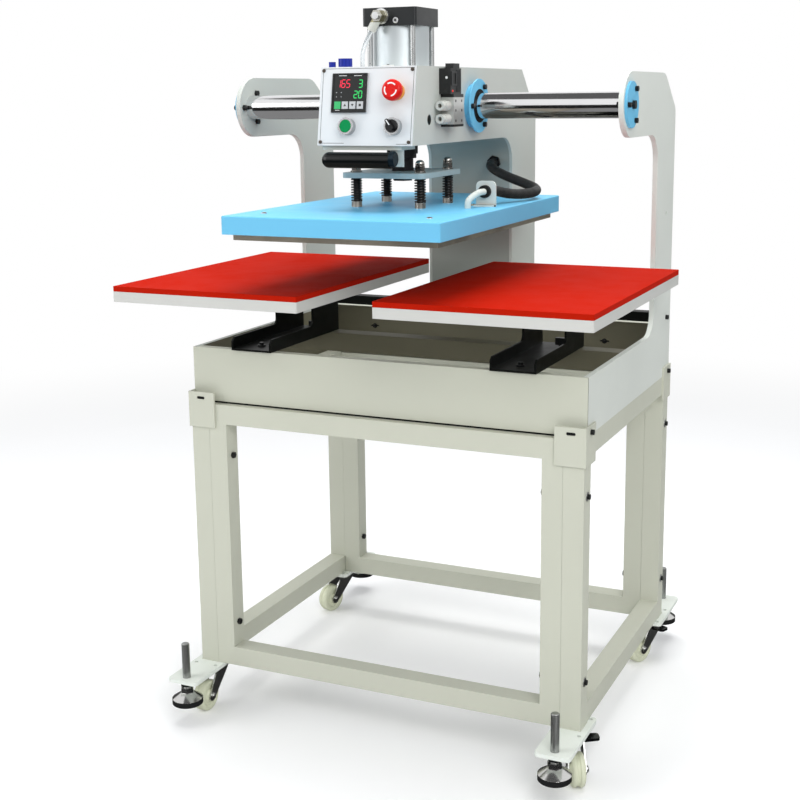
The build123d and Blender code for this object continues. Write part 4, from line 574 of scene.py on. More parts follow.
def mix_paints():
    """Paints on sheet metal and on screws."""
    paint = bpy.context.scene.press_paint
    finishes.update({
        # The near white on the broken edges of these three paints is a painted highlight
        "stand": painted("stand powder coat", paint.stand, gloss=0.42, edge_chip_and_highlight=EDGE_HIGHLIGHT),
        # Painted light: the stand's paint made lighter for the foot plates, for the light on their tops
        "foot_plate": painted("stand paint lit lighter on the foot plates", (0.80, 0.84, 0.78), gloss=0.42, edge_chip_and_highlight=EDGE_HIGHLIGHT),
        "press": painted("press paint", paint.press, gloss=0.38, edge_chip_and_highlight=EDGE_HIGHLIGHT),
        # The inner faces of the tray and end plates, and the cross rail, take the dark inside colour:
        # painted shade
        "end_plate_left": painted_with_shade_inside("left end plate paint", paint.press, zone("X", low=-END_INNER)),
        # The right end plate's lighter grey is painted light; its inner faces get painted shade
        "end_plate_right": painted_with_shade_inside("right end plate paint", paint.lit_outer_plate,
                                          zone("X", high=END_INNER)),
        "tray_front": painted_with_shade_inside("tray front paint", paint.stand, zone("Y", low=TRAY_FRONT_INNER)),
        "tray_rear": painted_with_shade_inside("tray rear paint", paint.stand, zone("Y", high=TRAY_REAR_INNER)),
        "inside": painted("paint inside the tray", paint.inside, gloss=0.5, level=0.15),
        # Painted shade: the head's liner in darker press paint
        "liner": painted("press paint inside", paint.liner, gloss=0.45),
        "spring_plate": painted("spring plate paint", paint.spring_plate, gloss=0.40),
        "panel": painted("panel lacquer", paint.panel, gloss=0.30, peel=1100.0, edge_mark=0.1, dust=0.02,
                         level=0.35),
        # The light blue on the cover's broken edges is a painted highlight along its rims
        "cover": painted("sky blue gloss", paint.cover, gloss=0.40, mottle=0.03, edge_mark=0.9, dust=0.0,
                         edge_chip_and_highlight=(0.60, 0.86, 0.95), radius=0.0014, level=0.15),
        "black_paint": painted("satin black", (0.005, 0.006, 0.005), gloss=0.36, edge_mark=0.4,
                               edge_chip_and_highlight=(0.06, 0.06, 0.06), dust=0.02, level=0.12),
        "platen": painted("platen coat", paint.platen, gloss=0.40, edge_mark=0.2),
        # Also on the dark plates in the slots of the tray and brackets, where it is painted shade
        "black_screw_and_shade": painted("black oxide and painted shade", BLACK, gloss=0.34, edge_mark=0.6, edge_chip_and_highlight=(0.16, 0.16, 0.16),
                               dust=0.0, radius=0.0003, level=0.3),
        "tab_paint": painted("cream tab paint", (0.52, 0.47, 0.38), gloss=0.42, edge_mark=0.1),
    })


def mix_metals():
    """Bare metals."""
    finishes.update({
        "bar": bright_metal("ground bar", (0.80, 0.80, 0.81), rough=0.09, stretch=(3000.0, 20.0, 20.0),
                            grain=0.04, tarnish=0.04),
        "barrel": bright_metal("cylinder tube", (0.66, 0.71, 0.73), rough=0.42,
                               stretch=(40.0, 40.0, 1500.0), grain=0.10, tarnish=0.06),
        "zinc": bright_metal("bright zinc", (0.60, 0.61, 0.60), rough=0.24, tarnish=0.2, edge_mark=0.3),
        "caster": bright_metal("caster zinc", (0.58, 0.59, 0.57), rough=0.28, tarnish=0.22, edge_mark=0.2),
        "heater": bright_metal("heater casting", (0.44, 0.40, 0.33), rough=0.45,
                               stretch=(60.0, 60.0, 900.0), tarnish=0.35),
        "spring_wire": bright_metal("oiled spring wire", (0.060, 0.060, 0.062), rough=0.22),
        "bronze_screw": bright_metal("bronzed screw", (0.12, 0.08, 0.06), rough=0.36),
    })


def mix_mouldings():
    """Plastics, rubbers and prints."""
    paint = bpy.context.scene.press_paint
    finishes.update({
        "silicone": moulded("red silicone", paint.silicone, rough=0.65, grain_scale=2600.0, grain=0.25,
                            dust=0.0, radius=0.0012, level=0.03, speckle=0.02),
        "nylon": moulded("cream nylon", paint.nylon, rough=0.36, grain_scale=700.0, speckle=0.10,
                         dust=0.10),
        "black_plastic": moulded("black moulding", (0.004, 0.004, 0.005), rough=0.20, coat=0.1, grain=0.04,
                                 dust=0.0),
        "instrument": moulded("instrument face", BLACK, rough=0.26, grain=0.04, dust=0.02),
        "white_plastic": moulded("white moulding", (0.78, 0.79, 0.77), rough=0.36, dust=0.02),
        # Also on the grey walls round the controller's case, where it is a painted reflection
        "grey_plastic_and_reflection": moulded("grey moulding and painted reflection", (0.50, 0.51, 0.52), rough=0.36, grain=0.05, dust=0.0),
        "grey_coil": moulded("coil moulding", (0.028, 0.030, 0.031), rough=0.34, grain=0.06, dust=0.02),
        "stop": moulded("red moulding", (0.62, 0.004, 0.002), rough=0.26, grain=0.05, dust=0.0, level=0.25),
        "start": moulded("green moulding", (0.0, 0.235, 0.065), rough=0.30, grain=0.05, dust=0.0,
                         level=0.12),
        "knob": moulded("blue moulding", (0.016, 0.030, 0.32), rough=0.28, coat=0.1, grain=0.06, dust=0.0,
                        level=0.2),
        # Also on the strip in the tray's gap and the disc in the head's side hole: painted shade there
        "seal_and_shade": moulded("black seal", BLACK, rough=0.5, grain=0.1, dust=0.0, level=0.1),
        # Also on the screw sockets, the plug's socket and the screws' cross recesses, where it is painted
        # shade
        "dark_ink_and_shade": moulded("dark print and painted shade", (0.050, 0.050, 0.050), rough=0.45, grain=0.02, dust=0.0),
        "white_ink": moulded("white print", (0.86, 0.87, 0.86), rough=0.45, grain=0.02, dust=0.0),
    })


def mix_layers():
    """Pieces of more than one finish."""
    paint = bpy.context.scene.press_paint
    finishes.update({
        "foot": layered("chromed foot on rubber", ((0.62, 0.62, 0.61), 0.14, 1.0), [
            (zone("Z", low=FOOT_HEX_TOP), ((0.34, 0.35, 0.34), 0.34, 1.0)),
            (zone("Z", high=FOOT_SOLE_TOP), (BLACK, 0.55, 0.0))]),
        "head_screw": layered("blackened and bronzed screws", ((0.075, 0.055, 0.040), 0.38, 0.5), [
            (zone("X", low=PANEL_HALF), (BLACK, 0.36, 0.0)),
            (zone("X", high=-PANEL_HALF), (BLACK, 0.36, 0.0))]),
        "cylinder": layered("cylinder caps, rods and elbow", ((0.010, 0.012, 0.013), 0.30, 0.0), [
            (zone("Z", low=LOWER_CAP_TOP, high=UPPER_CAP_BOTTOM), ((0.46, 0.47, 0.47), 0.24, 1.0)),
            (zone("Y", high=CAP_FRONT), ((0.74, 0.75, 0.76), 0.28, 1.0)),
            (both(zone("Y", low=ELBOW_FRONT, high=ELBOW_BACK), zone("X", high=0.0)),
             ((0.27, 0.25, 0.15), 0.34, 0.8)),
            (both(zone("Y", high=CAP_FRONT), zone("Z", high=ELBOW_BOTTOM)),
             ((0.60, 0.61, 0.56), 0.38, 0.0))], grain=120.0, edge_mark=0.0),
        "valve": layered("valve block and coil", (BLACK, 0.38, 0.0), [
            (zone("Z", low=VALVE_FOOT_TOP, high=VALVE_BLOCK_TOP), ((0.52, 0.53, 0.51), 0.32, 0.6)),
            (both(zone("Y", high=VALVE_FRONT), zone("Z", high=VALVE_BLOCK_TOP)),
             ((0.58, 0.59, 0.55), 0.36, 0.0))]),
        "handle": layered("grip and its end block", ((0.003, 0.004, 0.004), 0.20, 0.0), [
            (zone("X", low=GRIP_END), ((0.006, 0.016, 0.024), 0.30, 0.4))], level=0.3),
        "ram": layered("chromed rod and black coupler", ((0.70, 0.71, 0.72), 0.14, 1.0), [
            (zone("Z", high=COUPLER_TOP), ((0.020, 0.020, 0.022), 0.36, 0.5))]),
        "cable_bracket": layered("cream tab, grommet and lead", (paint.tab, 0.38, 0.0), [
            (zone("Y", high=GROMMET_BACK), (BLACK, 0.50, 0.0)),
            (zone("Y", high=GROMMET_FRONT), ((0.66, 0.69, 0.64), 0.42, 0.0))], level=0.25),
        "spring_bolts": layered("nuts, bushes and blackened bolts", ((0.46, 0.44, 0.41), 0.20, 1.0), [
            (zone("Z", high=SPRING_TOP), ((0.020, 0.020, 0.020), 0.40, 0.4)),
            (zone("Z", high=SPRING_SEAT), ((0.60, 0.61, 0.60), 0.25, 1.0))]),
        "collars": layered("bezels and yellow ring", ((0.46, 0.47, 0.48), 0.18, 1.0), [
            (both(zone("X", low=STOP_RING_LEFT), zone("Z", low=STOP_RING_LOW)),
             ((0.75, 0.30, 0.02), 0.35, 0.0))]),
    })


def mix_lights():
    """Lit keys, digits and lamps."""
    finishes.update({
        "key_green": lit("lit key", (0.03, 0.55, 0.16), 0.45),
        "digit_red": lit("red digits", (1.0, 0.010, 0.060), 0.8),
        "digit_green": lit("green digits", (0.02, 0.80, 0.16), 0.75),
        "lamp_red": lit("red lamp", (1.0, 0.03, 0.02), 0.8),
    })


def sleeve_finish():
    material, tree, shader = new_finish("braided sleeve", Specular_IOR_Level=0.4)
    braid = use_effect(tree, "braid", Around=26.0, Along=22.0)
    skin = use_effect(tree, "skin", Colour=(0.004, 0.004, 0.004, 1), Mottle=0.5, Peel=500.0)
    thread = blend_colours(tree, maths(tree, "MULTIPLY", braid["Shade"], 0.6), skin["Colour"],
                           (0.020, 0.021, 0.022))
    tree.links.new(thread, shader.inputs["Base Color"])
    roughen(tree, shader, skin["Smear"], 0.2, 0.38)
    bump(tree, shader, braid["Height"], 0.8, 0.0006)
    return material


def clear_hose_finish():
    material, tree, shader = new_finish(
        "clear polyurethane", Transmission_Weight=0.75, IOR=1.38, Coat_Weight=0.3)
    skin = use_effect(tree, "skin", Colour=(0.86, 0.90, 0.92, 1), Mottle=0.05, Peel=400.0)
    tree.links.new(skin["Colour"], shader.inputs["Base Color"])
    roughen(tree, shader, skin["Smear"], 0.10, 0.12)
    return material


def mix_finishes():
    """Every finish of the press, by the name that the pieces ask for."""
    mix_paints()
    mix_metals()
    mix_mouldings()
    mix_layers()
    mix_lights()
    finishes.update(sleeve=sleeve_finish(), clear_hose=clear_hose_finish())


# Making pieces

def add_piece(name, work, finish, body, smooth=30.0):
    """Makes a piece of a worked shape, with its finish and its body."""
    mesh = shape_to_mesh(name, work)
    piece = bpy.data.objects.new(name, mesh)
    bpy.context.scene.collection.objects.link(piece)
    mesh.materials.append(finishes[finish])
    if smooth:
        smooth_by_angle(mesh, smooth)
    if body is not None:
        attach(piece, body)
    return piece


def smooth_by_angle(mesh, degrees):
    """Smooth faces, with the edges that turn more than an angle kept sharp."""
    work = bmesh.new()
    work.from_mesh(mesh)
    for face in work.faces:
        face.smooth = True
    limit = radians(degrees)
    for edge in work.edges:
        edge.smooth = len(edge.link_faces) == 2 and edge.calc_face_angle(pi) < limit
    work.to_mesh(mesh)
    work.free()


def shape_to_mesh(name, work):
    bmesh.ops.recalc_face_normals(work, faces=work.faces)
    mesh = bpy.data.meshes.new(name)
    work.to_mesh(mesh)
    work.free()
    return mesh


def rectangle(x0, y0, x1, y1):
    return [(x0, y0), (x1, y0), (x1, y1), (x0, y1)]


def add_box(work, low, high):
    """A block between its lowest and its highest corner."""
    add_prism(work, rectangle(*low[:2], *high[:2]), UP * low[2], ACROSS, BACK, UP, high[2] - low[2])


def add_prism(work, outline, base, across, up, out, depth):
    """A flat shape, outline in (across, up) metres, standing depth along out from the base point."""
    lower = [work.verts.new(base + across * x + up * y) for x, y in outline]
    upper = [work.verts.new(v.co + out * depth) for v in lower]
    work.faces.new(lower)
    work.faces.new(upper)
    count = len(outline)
    for n in range(count):
        follow = (n + 1) % count
        work.faces.new((lower[n], lower[follow], upper[follow], upper[n]))


def ring(work, centre, aside, third, radius, sides):
    """Points round a centre, in the plane of two directions."""
    turns = [tau * n / sides for n in range(sides)]
    return [work.verts.new(centre + (aside * cos(turn) + third * sin(turn)) * radius) for turn in turns]


def add_lathe(work, profile, base, out, sides=32, capped=True):
    """A turned shape about the line through base along out, from (radius, height) pairs."""
    out = out.normalized()
    aside = out.orthogonal().normalized()
    third = out.cross(aside)
    rings = []
    for radius, height in profile:
        centre = base + out * height
        if radius < 1e-7:
            rings.append([work.verts.new(centre)])
        else:
            rings.append(ring(work, centre, aside, third, radius, sides))
    for low, high in zip(rings, rings[1:]):
        for n in range(sides):
            follow = (n + 1) % sides
            if len(low) == 1 and len(high) > 1:
                work.faces.new((low[0], high[n], high[follow]))
            elif len(high) == 1 and len(low) > 1:
                work.faces.new((low[n], low[follow], high[0]))
            elif len(low) > 1:
                work.faces.new((low[n], low[follow], high[follow], high[n]))
    for end in (rings[0], rings[-1]):
        if capped and len(end) > 1:
            work.faces.new(end)


def add_tube(work, line, radius, sides, chart=None, swell=None):
    """A closed tube along points, its rings carried round the bends without a twist."""
    line = [Vector(p) for p in line]
    heading = (line[1] - line[0]).normalized()
    aside = heading.orthogonal().normalized()
    rings, lengths = [], [0.0]
    for n, point in enumerate(line):
        ahead = line[min(n + 1, len(line) - 1)] - line[max(n - 1, 0)]
        ahead.normalize()
        aside = (aside - ahead * aside.dot(ahead)).normalized()
        third = ahead.cross(aside)
        size = radius * (swell(n / (len(line) - 1)) if swell else 1.0)
        rings.append(ring(work, point, aside, third, size, sides))
        if n:
            lengths.append(lengths[-1] + (point - line[n - 1]).length)
    for n in range(len(rings) - 1):
        for k in range(sides):
            follow = (k + 1) % sides
            face = work.faces.new((rings[n][k], rings[n][follow], rings[n + 1][follow], rings[n + 1][k]))
            if chart is not None:
                for loop, (turn, at) in zip(face.loops, rectangle(k, n, k + 1, n + 1)):
                    loop[chart].uv = (turn / sides, lengths[at] / (tau * radius))
    work.faces.new(rings[0])
    work.faces.new(rings[-1])


def dress(finish, *nodes):
    """Gives CAD nodes their finish."""
    for name in nodes:
        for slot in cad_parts[name].material_slots:
            slot.material = finishes[finish]


def smooth_line(name, points):
    """Points along the NURBS spline whose control points are the route's own."""
    curve = bpy.data.curves.new(name, "CURVE")
    curve.dimensions = "3D"
    curve.resolution_u = 16
    spline = curve.splines.new("NURBS")
    spline.points.add(len(points) - 1)
    for point, where in zip(spline.points, points):
        point.co = (*where, 1)
    spline.order_u = 3
    spline.use_endpoint_u = True
    holder = bpy.data.objects.new(name, curve)
    bpy.context.scene.collection.objects.link(holder)
    bpy.context.view_layer.update()
    mesh = bpy.data.meshes.new_from_object(holder.evaluated_get(bpy.context.evaluated_depsgraph_get()))
    line = [v.co.copy() for v in mesh.vertices]
    bpy.data.objects.remove(holder)
    bpy.data.meshes.remove(mesh)
    return line


def panel_axes():
    """The middle of the panel's lower edge, and from there across, up the plate and outward."""
    panel = bpy.context.scene.press_panel
    rise = panel.top - panel.bottom
    lean = atan2(panel.highest_y - panel.lowest_y, rise)
    return (Vector((0, panel.lowest_y, panel.bottom)), ACROSS, Vector((0, sin(lean), cos(lean))),
            Vector((0, -cos(lean), sin(lean))))


def ring_outline(inner, outer, start, end, steps):
    """A band round a centre between two angles, in degrees."""
    angles = [radians(start + (end - start) * n / steps) for n in range(steps + 1)]
    far = [(outer * cos(a), outer * sin(a)) for a in angles]
    near = [(inner * cos(a), inner * sin(a)) for a in reversed(angles)]
    return far + near


def add_disc(work, base, out, radius, height, sides=24):
    """A flat round plate on a face."""
    add_lathe(work, [(radius, 0), (radius, height), (0, height)], base, out, sides)


def add_dome(work, base, out, radius, height, sides=24):
    """A rounded head on a flat face."""
    profile = [(radius * cos(radians(a)), height * sin(radians(a))) for a in range(0, 90, 15)]
    add_lathe(work, profile + [(0.0, height)], base, out, sides)


def add_washer(work, base, out, inner, outer, height, sides=32):
    edge = height * 0.2
    profile = [(inner, 0), (outer, 0), (outer, height - edge), (outer - edge, height), (inner, height),
               (inner, 0)]
    add_lathe(work, profile, base, out, sides, capped=False)


def hexagon(radius):
    return [(radius * cos(tau * n / 6), radius * sin(tau * n / 6)) for n in range(6)]


# Seven strokes of a digit: which are lit, and where each lies on a digit one high and half as wide
DIGIT_STROKES = {"0": "abcdef", "1": "bc", "2": "abged", "3": "abgcd", "5": "afgcd", "6": "afgedc"}
STROKE_ENDS = {"a": ((0, 1), (0.5, 1)), "b": ((0.5, 1), (0.5, 0.5)), "c": ((0.5, 0.5), (0.5, 0)),
               "d": ((0, 0), (0.5, 0)), "e": ((0, 0.5), (0, 0)), "f": ((0, 1), (0, 0.5)),
               "g": ((0, 0.5), (0.5, 0.5))}


def digit_outlines(text, left, low, height, pitch, slant=0.10):
    """Outlines of the lit strokes of a row of digits, in millimetres on the panel."""
    outlines = []
    stroke = height * 0.055
    for place_of, digit in enumerate(text):
        for name in DIGIT_STROKES[digit]:
            (x0, y0), (x1, y1) = (Vector(end) * height for end in STROKE_ENDS[name])
            along = Vector((x1 - x0, y1 - y0)).normalized()
            aside = Vector((-along.y, along.x)) * stroke
            trim = along * stroke * 0.7
            ends = (Vector((x0, y0)) + trim, Vector((x1, y1)) - trim)
            corners = (ends[0] - aside, ends[1] - aside, ends[1] + aside, ends[0] + aside)
            outlines.append([(left + pitch * place_of + c.x + slant * c.y, low + c.y) for c in corners])
    return outlines


def panel_marks(name, outlines, out, depth, finish, body="head"):
    """Flat pieces on the panel, from outlines in millimetres across and up, at a height over the plate."""
    base, right, rise, outward = panel_axes()
    work = bmesh.new()
    for outline in outlines:
        add_prism(work, [(x * MM, y * MM) for x, y in outline], base + outward * out, right, rise, outward,
                  depth)
    return add_piece(name, work, finish, body, smooth=0)


# Operators, one for each group of like pieces

class PRESS_OT_stage(bpy.types.Operator):
    """Camera, lamps, pale floor and backdrop"""
    bl_idname = "press.stage"
    bl_label = "Studio and camera"

    def execute(self, context):
        scene = context.scene
        scene.view_settings.view_transform = "Standard"
        self.set_camera(scene)
        self.set_world(scene)
        self.set_floor(scene)
        self.set_flags(scene)
        self.set_lamps(scene)
        return {"FINISHED"}

    def set_camera(self, scene):
        view = scene.press_camera
        level = Vector((cos(view.yaw), sin(view.yaw), 0))
        forward = UP.cross(level) * cos(view.pitch) + UP * sin(view.pitch)
        over = level.cross(forward)
        right = level * cos(view.roll) + over * sin(view.roll)
        up = over * cos(view.roll) - level * sin(view.roll)
        data = bpy.data.cameras.new("photo_view")
        data.sensor_width = 36
        data.lens = view.focal_pixels * data.sensor_width / view.picture
        data.shift_x = (view.picture / 2 - view.centre_x) / view.picture
        data.shift_y = (view.centre_y - view.picture / 2) / view.picture
        camera = bpy.data.objects.new("photo_view", data)
        turn = Matrix((right, up, -forward)).transposed().to_4x4()
        camera.matrix_world = Matrix.Translation(Vector(view.position)) @ turn
        scene.collection.objects.link(camera)
        scene.camera = camera

    def set_world(self, scene):
        world = bpy.data.worlds.new("studio")
        world.use_nodes = True
        tree = world.node_tree
        tree.nodes.clear()
        out = add_node(tree, "ShaderNodeOutputWorld")
        dim = add_node(tree, "ShaderNodeBackground")
        dim.inputs["Color"].default_value = (0.93, 0.96, 1.0, 1)
        dim.inputs["Strength"].default_value = scene.press_studio.sky
        white = add_node(tree, "ShaderNodeBackground")
        white.inputs["Color"].default_value = (1, 1, 1, 1)
        mix = add_node(tree, "ShaderNodeMixShader")
        tree.links.new(background_rays(tree), mix.inputs[0])
        tree.links.new(dim.outputs[0], mix.inputs[1])
        tree.links.new(white.outputs[0], mix.inputs[2])
        tree.links.new(mix.outputs[0], out.inputs["Surface"])
        scene.world = world

    def set_floor(self, scene):
        studio = scene.press_studio
        work = bmesh.new()
        add_lathe(work, [(studio.floor_radius, 0), (0, 0)], Vector(), UP, 96, capped=False)
        mesh = shape_to_mesh("floor", work)
        material, tree, shader = new_finish("studio floor", Base_Color=(0.92, 0.92, 0.92, 1), Roughness=0.7,
                                            Specular_IOR_Level=0.1)
        where, _ = place(tree)
        tree.links.new(smooth_range(tree, noise(tree, where, 3.0), 0.3, 0.7, 0.62, 0.72),
                       shader.inputs["Roughness"])
        distance = add_node(tree, "ShaderNodeVectorMath", operation="LENGTH")
        tree.links.new(where, distance.inputs[0])
        near_edge, far_edge = 1.6, 4.0
        far = smooth_range(tree, distance.outputs["Value"], near_edge, far_edge)
        seen = background_rays(tree)
        lift = add_node(tree, "ShaderNodeEmission")
        tree.links.new(maths(tree, "MULTIPLY", seen, studio.lift), lift.inputs["Strength"])
        raised = add_node(tree, "ShaderNodeAddShader")
        tree.links.new(shader.outputs[0], raised.inputs[0])
        tree.links.new(lift.outputs[0], raised.inputs[1])
        white = add_node(tree, "ShaderNodeEmission")
        mix = add_node(tree, "ShaderNodeMixShader")
        tree.links.new(maths(tree, "MULTIPLY", far, seen), mix.inputs[0])
        tree.links.new(raised.outputs[0], mix.inputs[1])
        tree.links.new(white.outputs[0], mix.inputs[2])
        surface = next(node for node in tree.nodes if node.type == "OUTPUT_MATERIAL")
        tree.links.new(mix.outputs[0], surface.inputs["Surface"])
        mesh.materials.append(material)
        floor = bpy.data.objects.new("floor", mesh)
        scene.collection.objects.link(floor)

    def set_flags(self, scene):
        """Dark cloth round the press, mats in three rings and a dark ceiling, which only gloss shows."""
        studio = scene.press_studio
        reach, ceiling_height, ceiling_radius = studio.flag_radius, 3.2, 1.5
        tray_mat, floor_mat, mat_height = 0.75, 2.6, 0.004
        for name, profile, grey in (
                ("flag_wall", [(reach, 0), (reach, studio.flag_height)], 0.015),
                ("flag_mat", [(floor_mat, mat_height), (reach, mat_height)], 0.015),
                ("flag_floor", [(tray_mat, mat_height), (floor_mat, mat_height)], 0.26),
                ("flag_tray", [(0, mat_height), (tray_mat, mat_height)], 0.03),
                ("flag_ceiling", [(0, ceiling_height), (ceiling_radius, ceiling_height)], 0.12)):
            work = bmesh.new()
            add_lathe(work, profile, Vector(), UP, 64, capped=False)
            mesh = shape_to_mesh(name, work)
            material, _, _ = new_finish(
                name, Base_Color=(0, 0, 0, 1), Roughness=1.0, Specular_IOR_Level=0.0,
                Emission_Color=(grey, grey, grey, 1), Emission_Strength=1.0)
            material.cycles.emission_sampling = "NONE"
            mesh.materials.append(material)
            flag = bpy.data.objects.new(name, mesh)
            flag.visible_camera = flag.visible_diffuse = False
            flag.visible_shadow = flag.visible_transmission = False
            scene.collection.objects.link(flag)

    def set_lamps(self, scene):
        studio = scene.press_studio
        target = Vector((0.0, 0.0, 0.85))
        for name, place_at, size, power in (
                ("key", (2.6, -2.8, 3.0), 2.2, studio.key_power),
                ("fill", (-3.0, -2.4, 2.2), 2.4, studio.fill_power),
                ("top", (0.0, 0.2, 3.6), 2.6, studio.top_power)):
            lamp = bpy.data.lights.new(name, "AREA")
            lamp.shape = "SQUARE"
            lamp.size = size
            lamp.energy = power
            holder = bpy.data.objects.new(name, lamp)
            holder.location = place_at
            holder.rotation_euler = (target - holder.location).to_track_quat("-Z", "Y").to_euler()
            holder.visible_glossy = name != "top"
            scene.collection.objects.link(holder)


# Middles of the stand's posts, half of the stand's width and of a tube, and the heights of the leg screws
FRONT_POST_Y, REAR_POST_Y = -0.264, 0.324
SIDE_POST_X, STAND_HALF, TUBE_HALF = 0.395, 0.415, 0.020
LEG_SCREWS = (0.190, 0.550)


def hide_from_gloss(*nodes):
    """Keeps the colour of nodes out of the reflections on the bar, where the photograph shows none."""
    for name in nodes:
        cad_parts[name].visible_glossy = False


class PRESS_OT_stand(bpy.types.Operator):
    """Powder coated frames, tray, foot plates, their welds and their screws"""
    bl_idname = "press.stand"
    bl_label = "Stand"

    def execute(self, context):
        dress("stand", "side_frames", "cross_frames", "corner_brackets")
        # The foot plates get the lighter copy of the stand paint: painted light
        dress("foot_plate", "foot_plates")
        for name in ("tray_front", "tray_rear", "end_plate_left", "end_plate_right"):
            dress(name, name)
        # The cross rail in the tray takes the dark inside colour: painted shade
        dress("inside", "tray_cross_rail")
        dress("black_screw_and_shade", "frame_screws")
        dress("black_paint", "guide_rail", "channel_supports")
        dress("bar", "slide_bar")
        dress("cover", "end_flanges")
        self.run_welds()
        self.fit_washers()
        self.sink_sockets()
        self.lay_gap_shade()
        self.shade_slots()
        return {"FINISHED"}

    def shade_slots(self):
        """Dark plates in the slots of the tray's back, painted shade, with bolts in those slots; dark
        plates in the slots of the brackets, painted shade.
        """
        slot_z, wall_back, wall_front = 0.7220, 0.3441, 0.3409
        half_length, half_height, thickness, washer = 0.0135, 0.0050, 0.0010, 0.0012
        work = bmesh.new()
        for x in (-0.300, 0.270):
            add_box(work, (x - half_length, wall_back, slot_z - half_height),
                    (x + half_length, wall_back + thickness, slot_z + half_height))
            add_washer(work, Vector((x, wall_front, slot_z)), -BACK, 0.0, 0.0058, washer)
            add_dome(work, Vector((x, wall_front - washer, slot_z)), -BACK, 0.0040, 0.0035)
        bracket_front, bracket_z = -0.2872, 0.6700
        half_length, half_height, thickness = 0.0085, 0.0026, 0.0004
        for x in (-0.390, 0.390):
            add_box(work, (x - half_length, bracket_front, bracket_z - half_height),
                    (x + half_length, bracket_front + thickness, bracket_z + half_height))
        add_piece("slot_shade_plates", work, "black_screw_and_shade", "base", smooth=0)

    def lay_gap_shade(self):
        """A dark strip set in the gap between the tray and the cross frames: painted shade."""
        low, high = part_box("cross_frames")[1].z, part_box("tray_front")[0].z
        half_length, width = 0.374, 0.004
        work = bmesh.new()
        for y in (-0.2665, 0.3380):
            add_box(work, (-half_length, y, low), (half_length, y + width, high))
        add_piece("tray_gap_shade", work, "seal_and_shade", "base", smooth=0)

    def run_welds(self):
        """Beads on three sides of each side post, where it stands on its foot plate."""
        plate_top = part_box("foot_plates")[1].z
        bead, step = 0.0017, 0.0025
        count = int(2 * TUBE_HALF / step)
        work = bmesh.new()
        for side in (-1, 1):
            for post_y in (FRONT_POST_Y, REAR_POST_Y):
                corners = rectangle(SIDE_POST_X - TUBE_HALF, post_y - TUBE_HALF,
                                    SIDE_POST_X + TUBE_HALF, post_y + TUBE_HALF)
                line = []
                for (x0, y0), (x1, y1) in zip(corners, corners[1:]):
                    line += [(side * (x0 + (x1 - x0) * n / count), y0 + (y1 - y0) * n / count, plate_top)
                             for n in range(count)]
                line.append((side * corners[-1][0], corners[-1][1], plate_top))

                def swell(share):
                    return 1.0 + 0.22 * sin(210 * share) + 0.15 * sin(57 * share + post_y * 90)

                add_tube(work, line, bead, 8, swell=swell)
        add_piece("foot_welds", work, "stand", "base", smooth=70.0)

    def fit_washers(self):
        """Bright washers under the heads of the screws that hold the stand's tubes."""
        inner, outer, height = 0.0049, 0.0088, 0.0014
        work = bmesh.new()
        for side in (-1, 1):
            for post_y in (FRONT_POST_Y, REAR_POST_Y):
                for z in LEG_SCREWS:
                    face = Vector((side * STAND_HALF, post_y, z))
                    add_washer(work, face, ACROSS * side, inner, outer, height)
        add_piece("leg_washers", work, "zinc", "base")

    def sink_sockets(self):
        """Hexagon sockets in the heads of the side screws and in the middle bolt of each flange: dark
        hexagons, painted shade in the recesses.
        """
        leg_face, bracket_face, flange_face = 0.421, 0.425, 0.426
        socket, middle_socket, flange_circle, depth = 0.0030, 0.0048, 0.034, 0.00012
        spots = [(leg_face, y, z, socket) for y in (FRONT_POST_Y, REAR_POST_Y) for z in LEG_SCREWS]
        spots += [(bracket_face, y, 0.670, socket) for y in (-0.260, 0.320)]
        spots += [(flange_face, BAR_Y + flange_circle * cos(radians(angle)),
                   BAR_Z + flange_circle * sin(radians(angle)), socket) for angle in (60, 180, 300)]
        spots.append((flange_face, BAR_Y, BAR_Z, middle_socket))
        work = bmesh.new()
        for side in (-1, 1):
            for x, y, z, radius in spots:
                add_prism(work, hexagon(radius), Vector((side * x, y, z)), BACK, UP, ACROSS * side, depth)
        add_piece("screw_sockets", work, "dark_ink_and_shade", "base", smooth=0)


# Corner by corner: which way each caster trails, in degrees from straight ahead, positive to the right
CASTER_HEADINGS = {"front_left": 0.0, "front_right": 28.0, "rear_left": -17.0, "rear_right": -24.0}
FOOT_X = 0.395


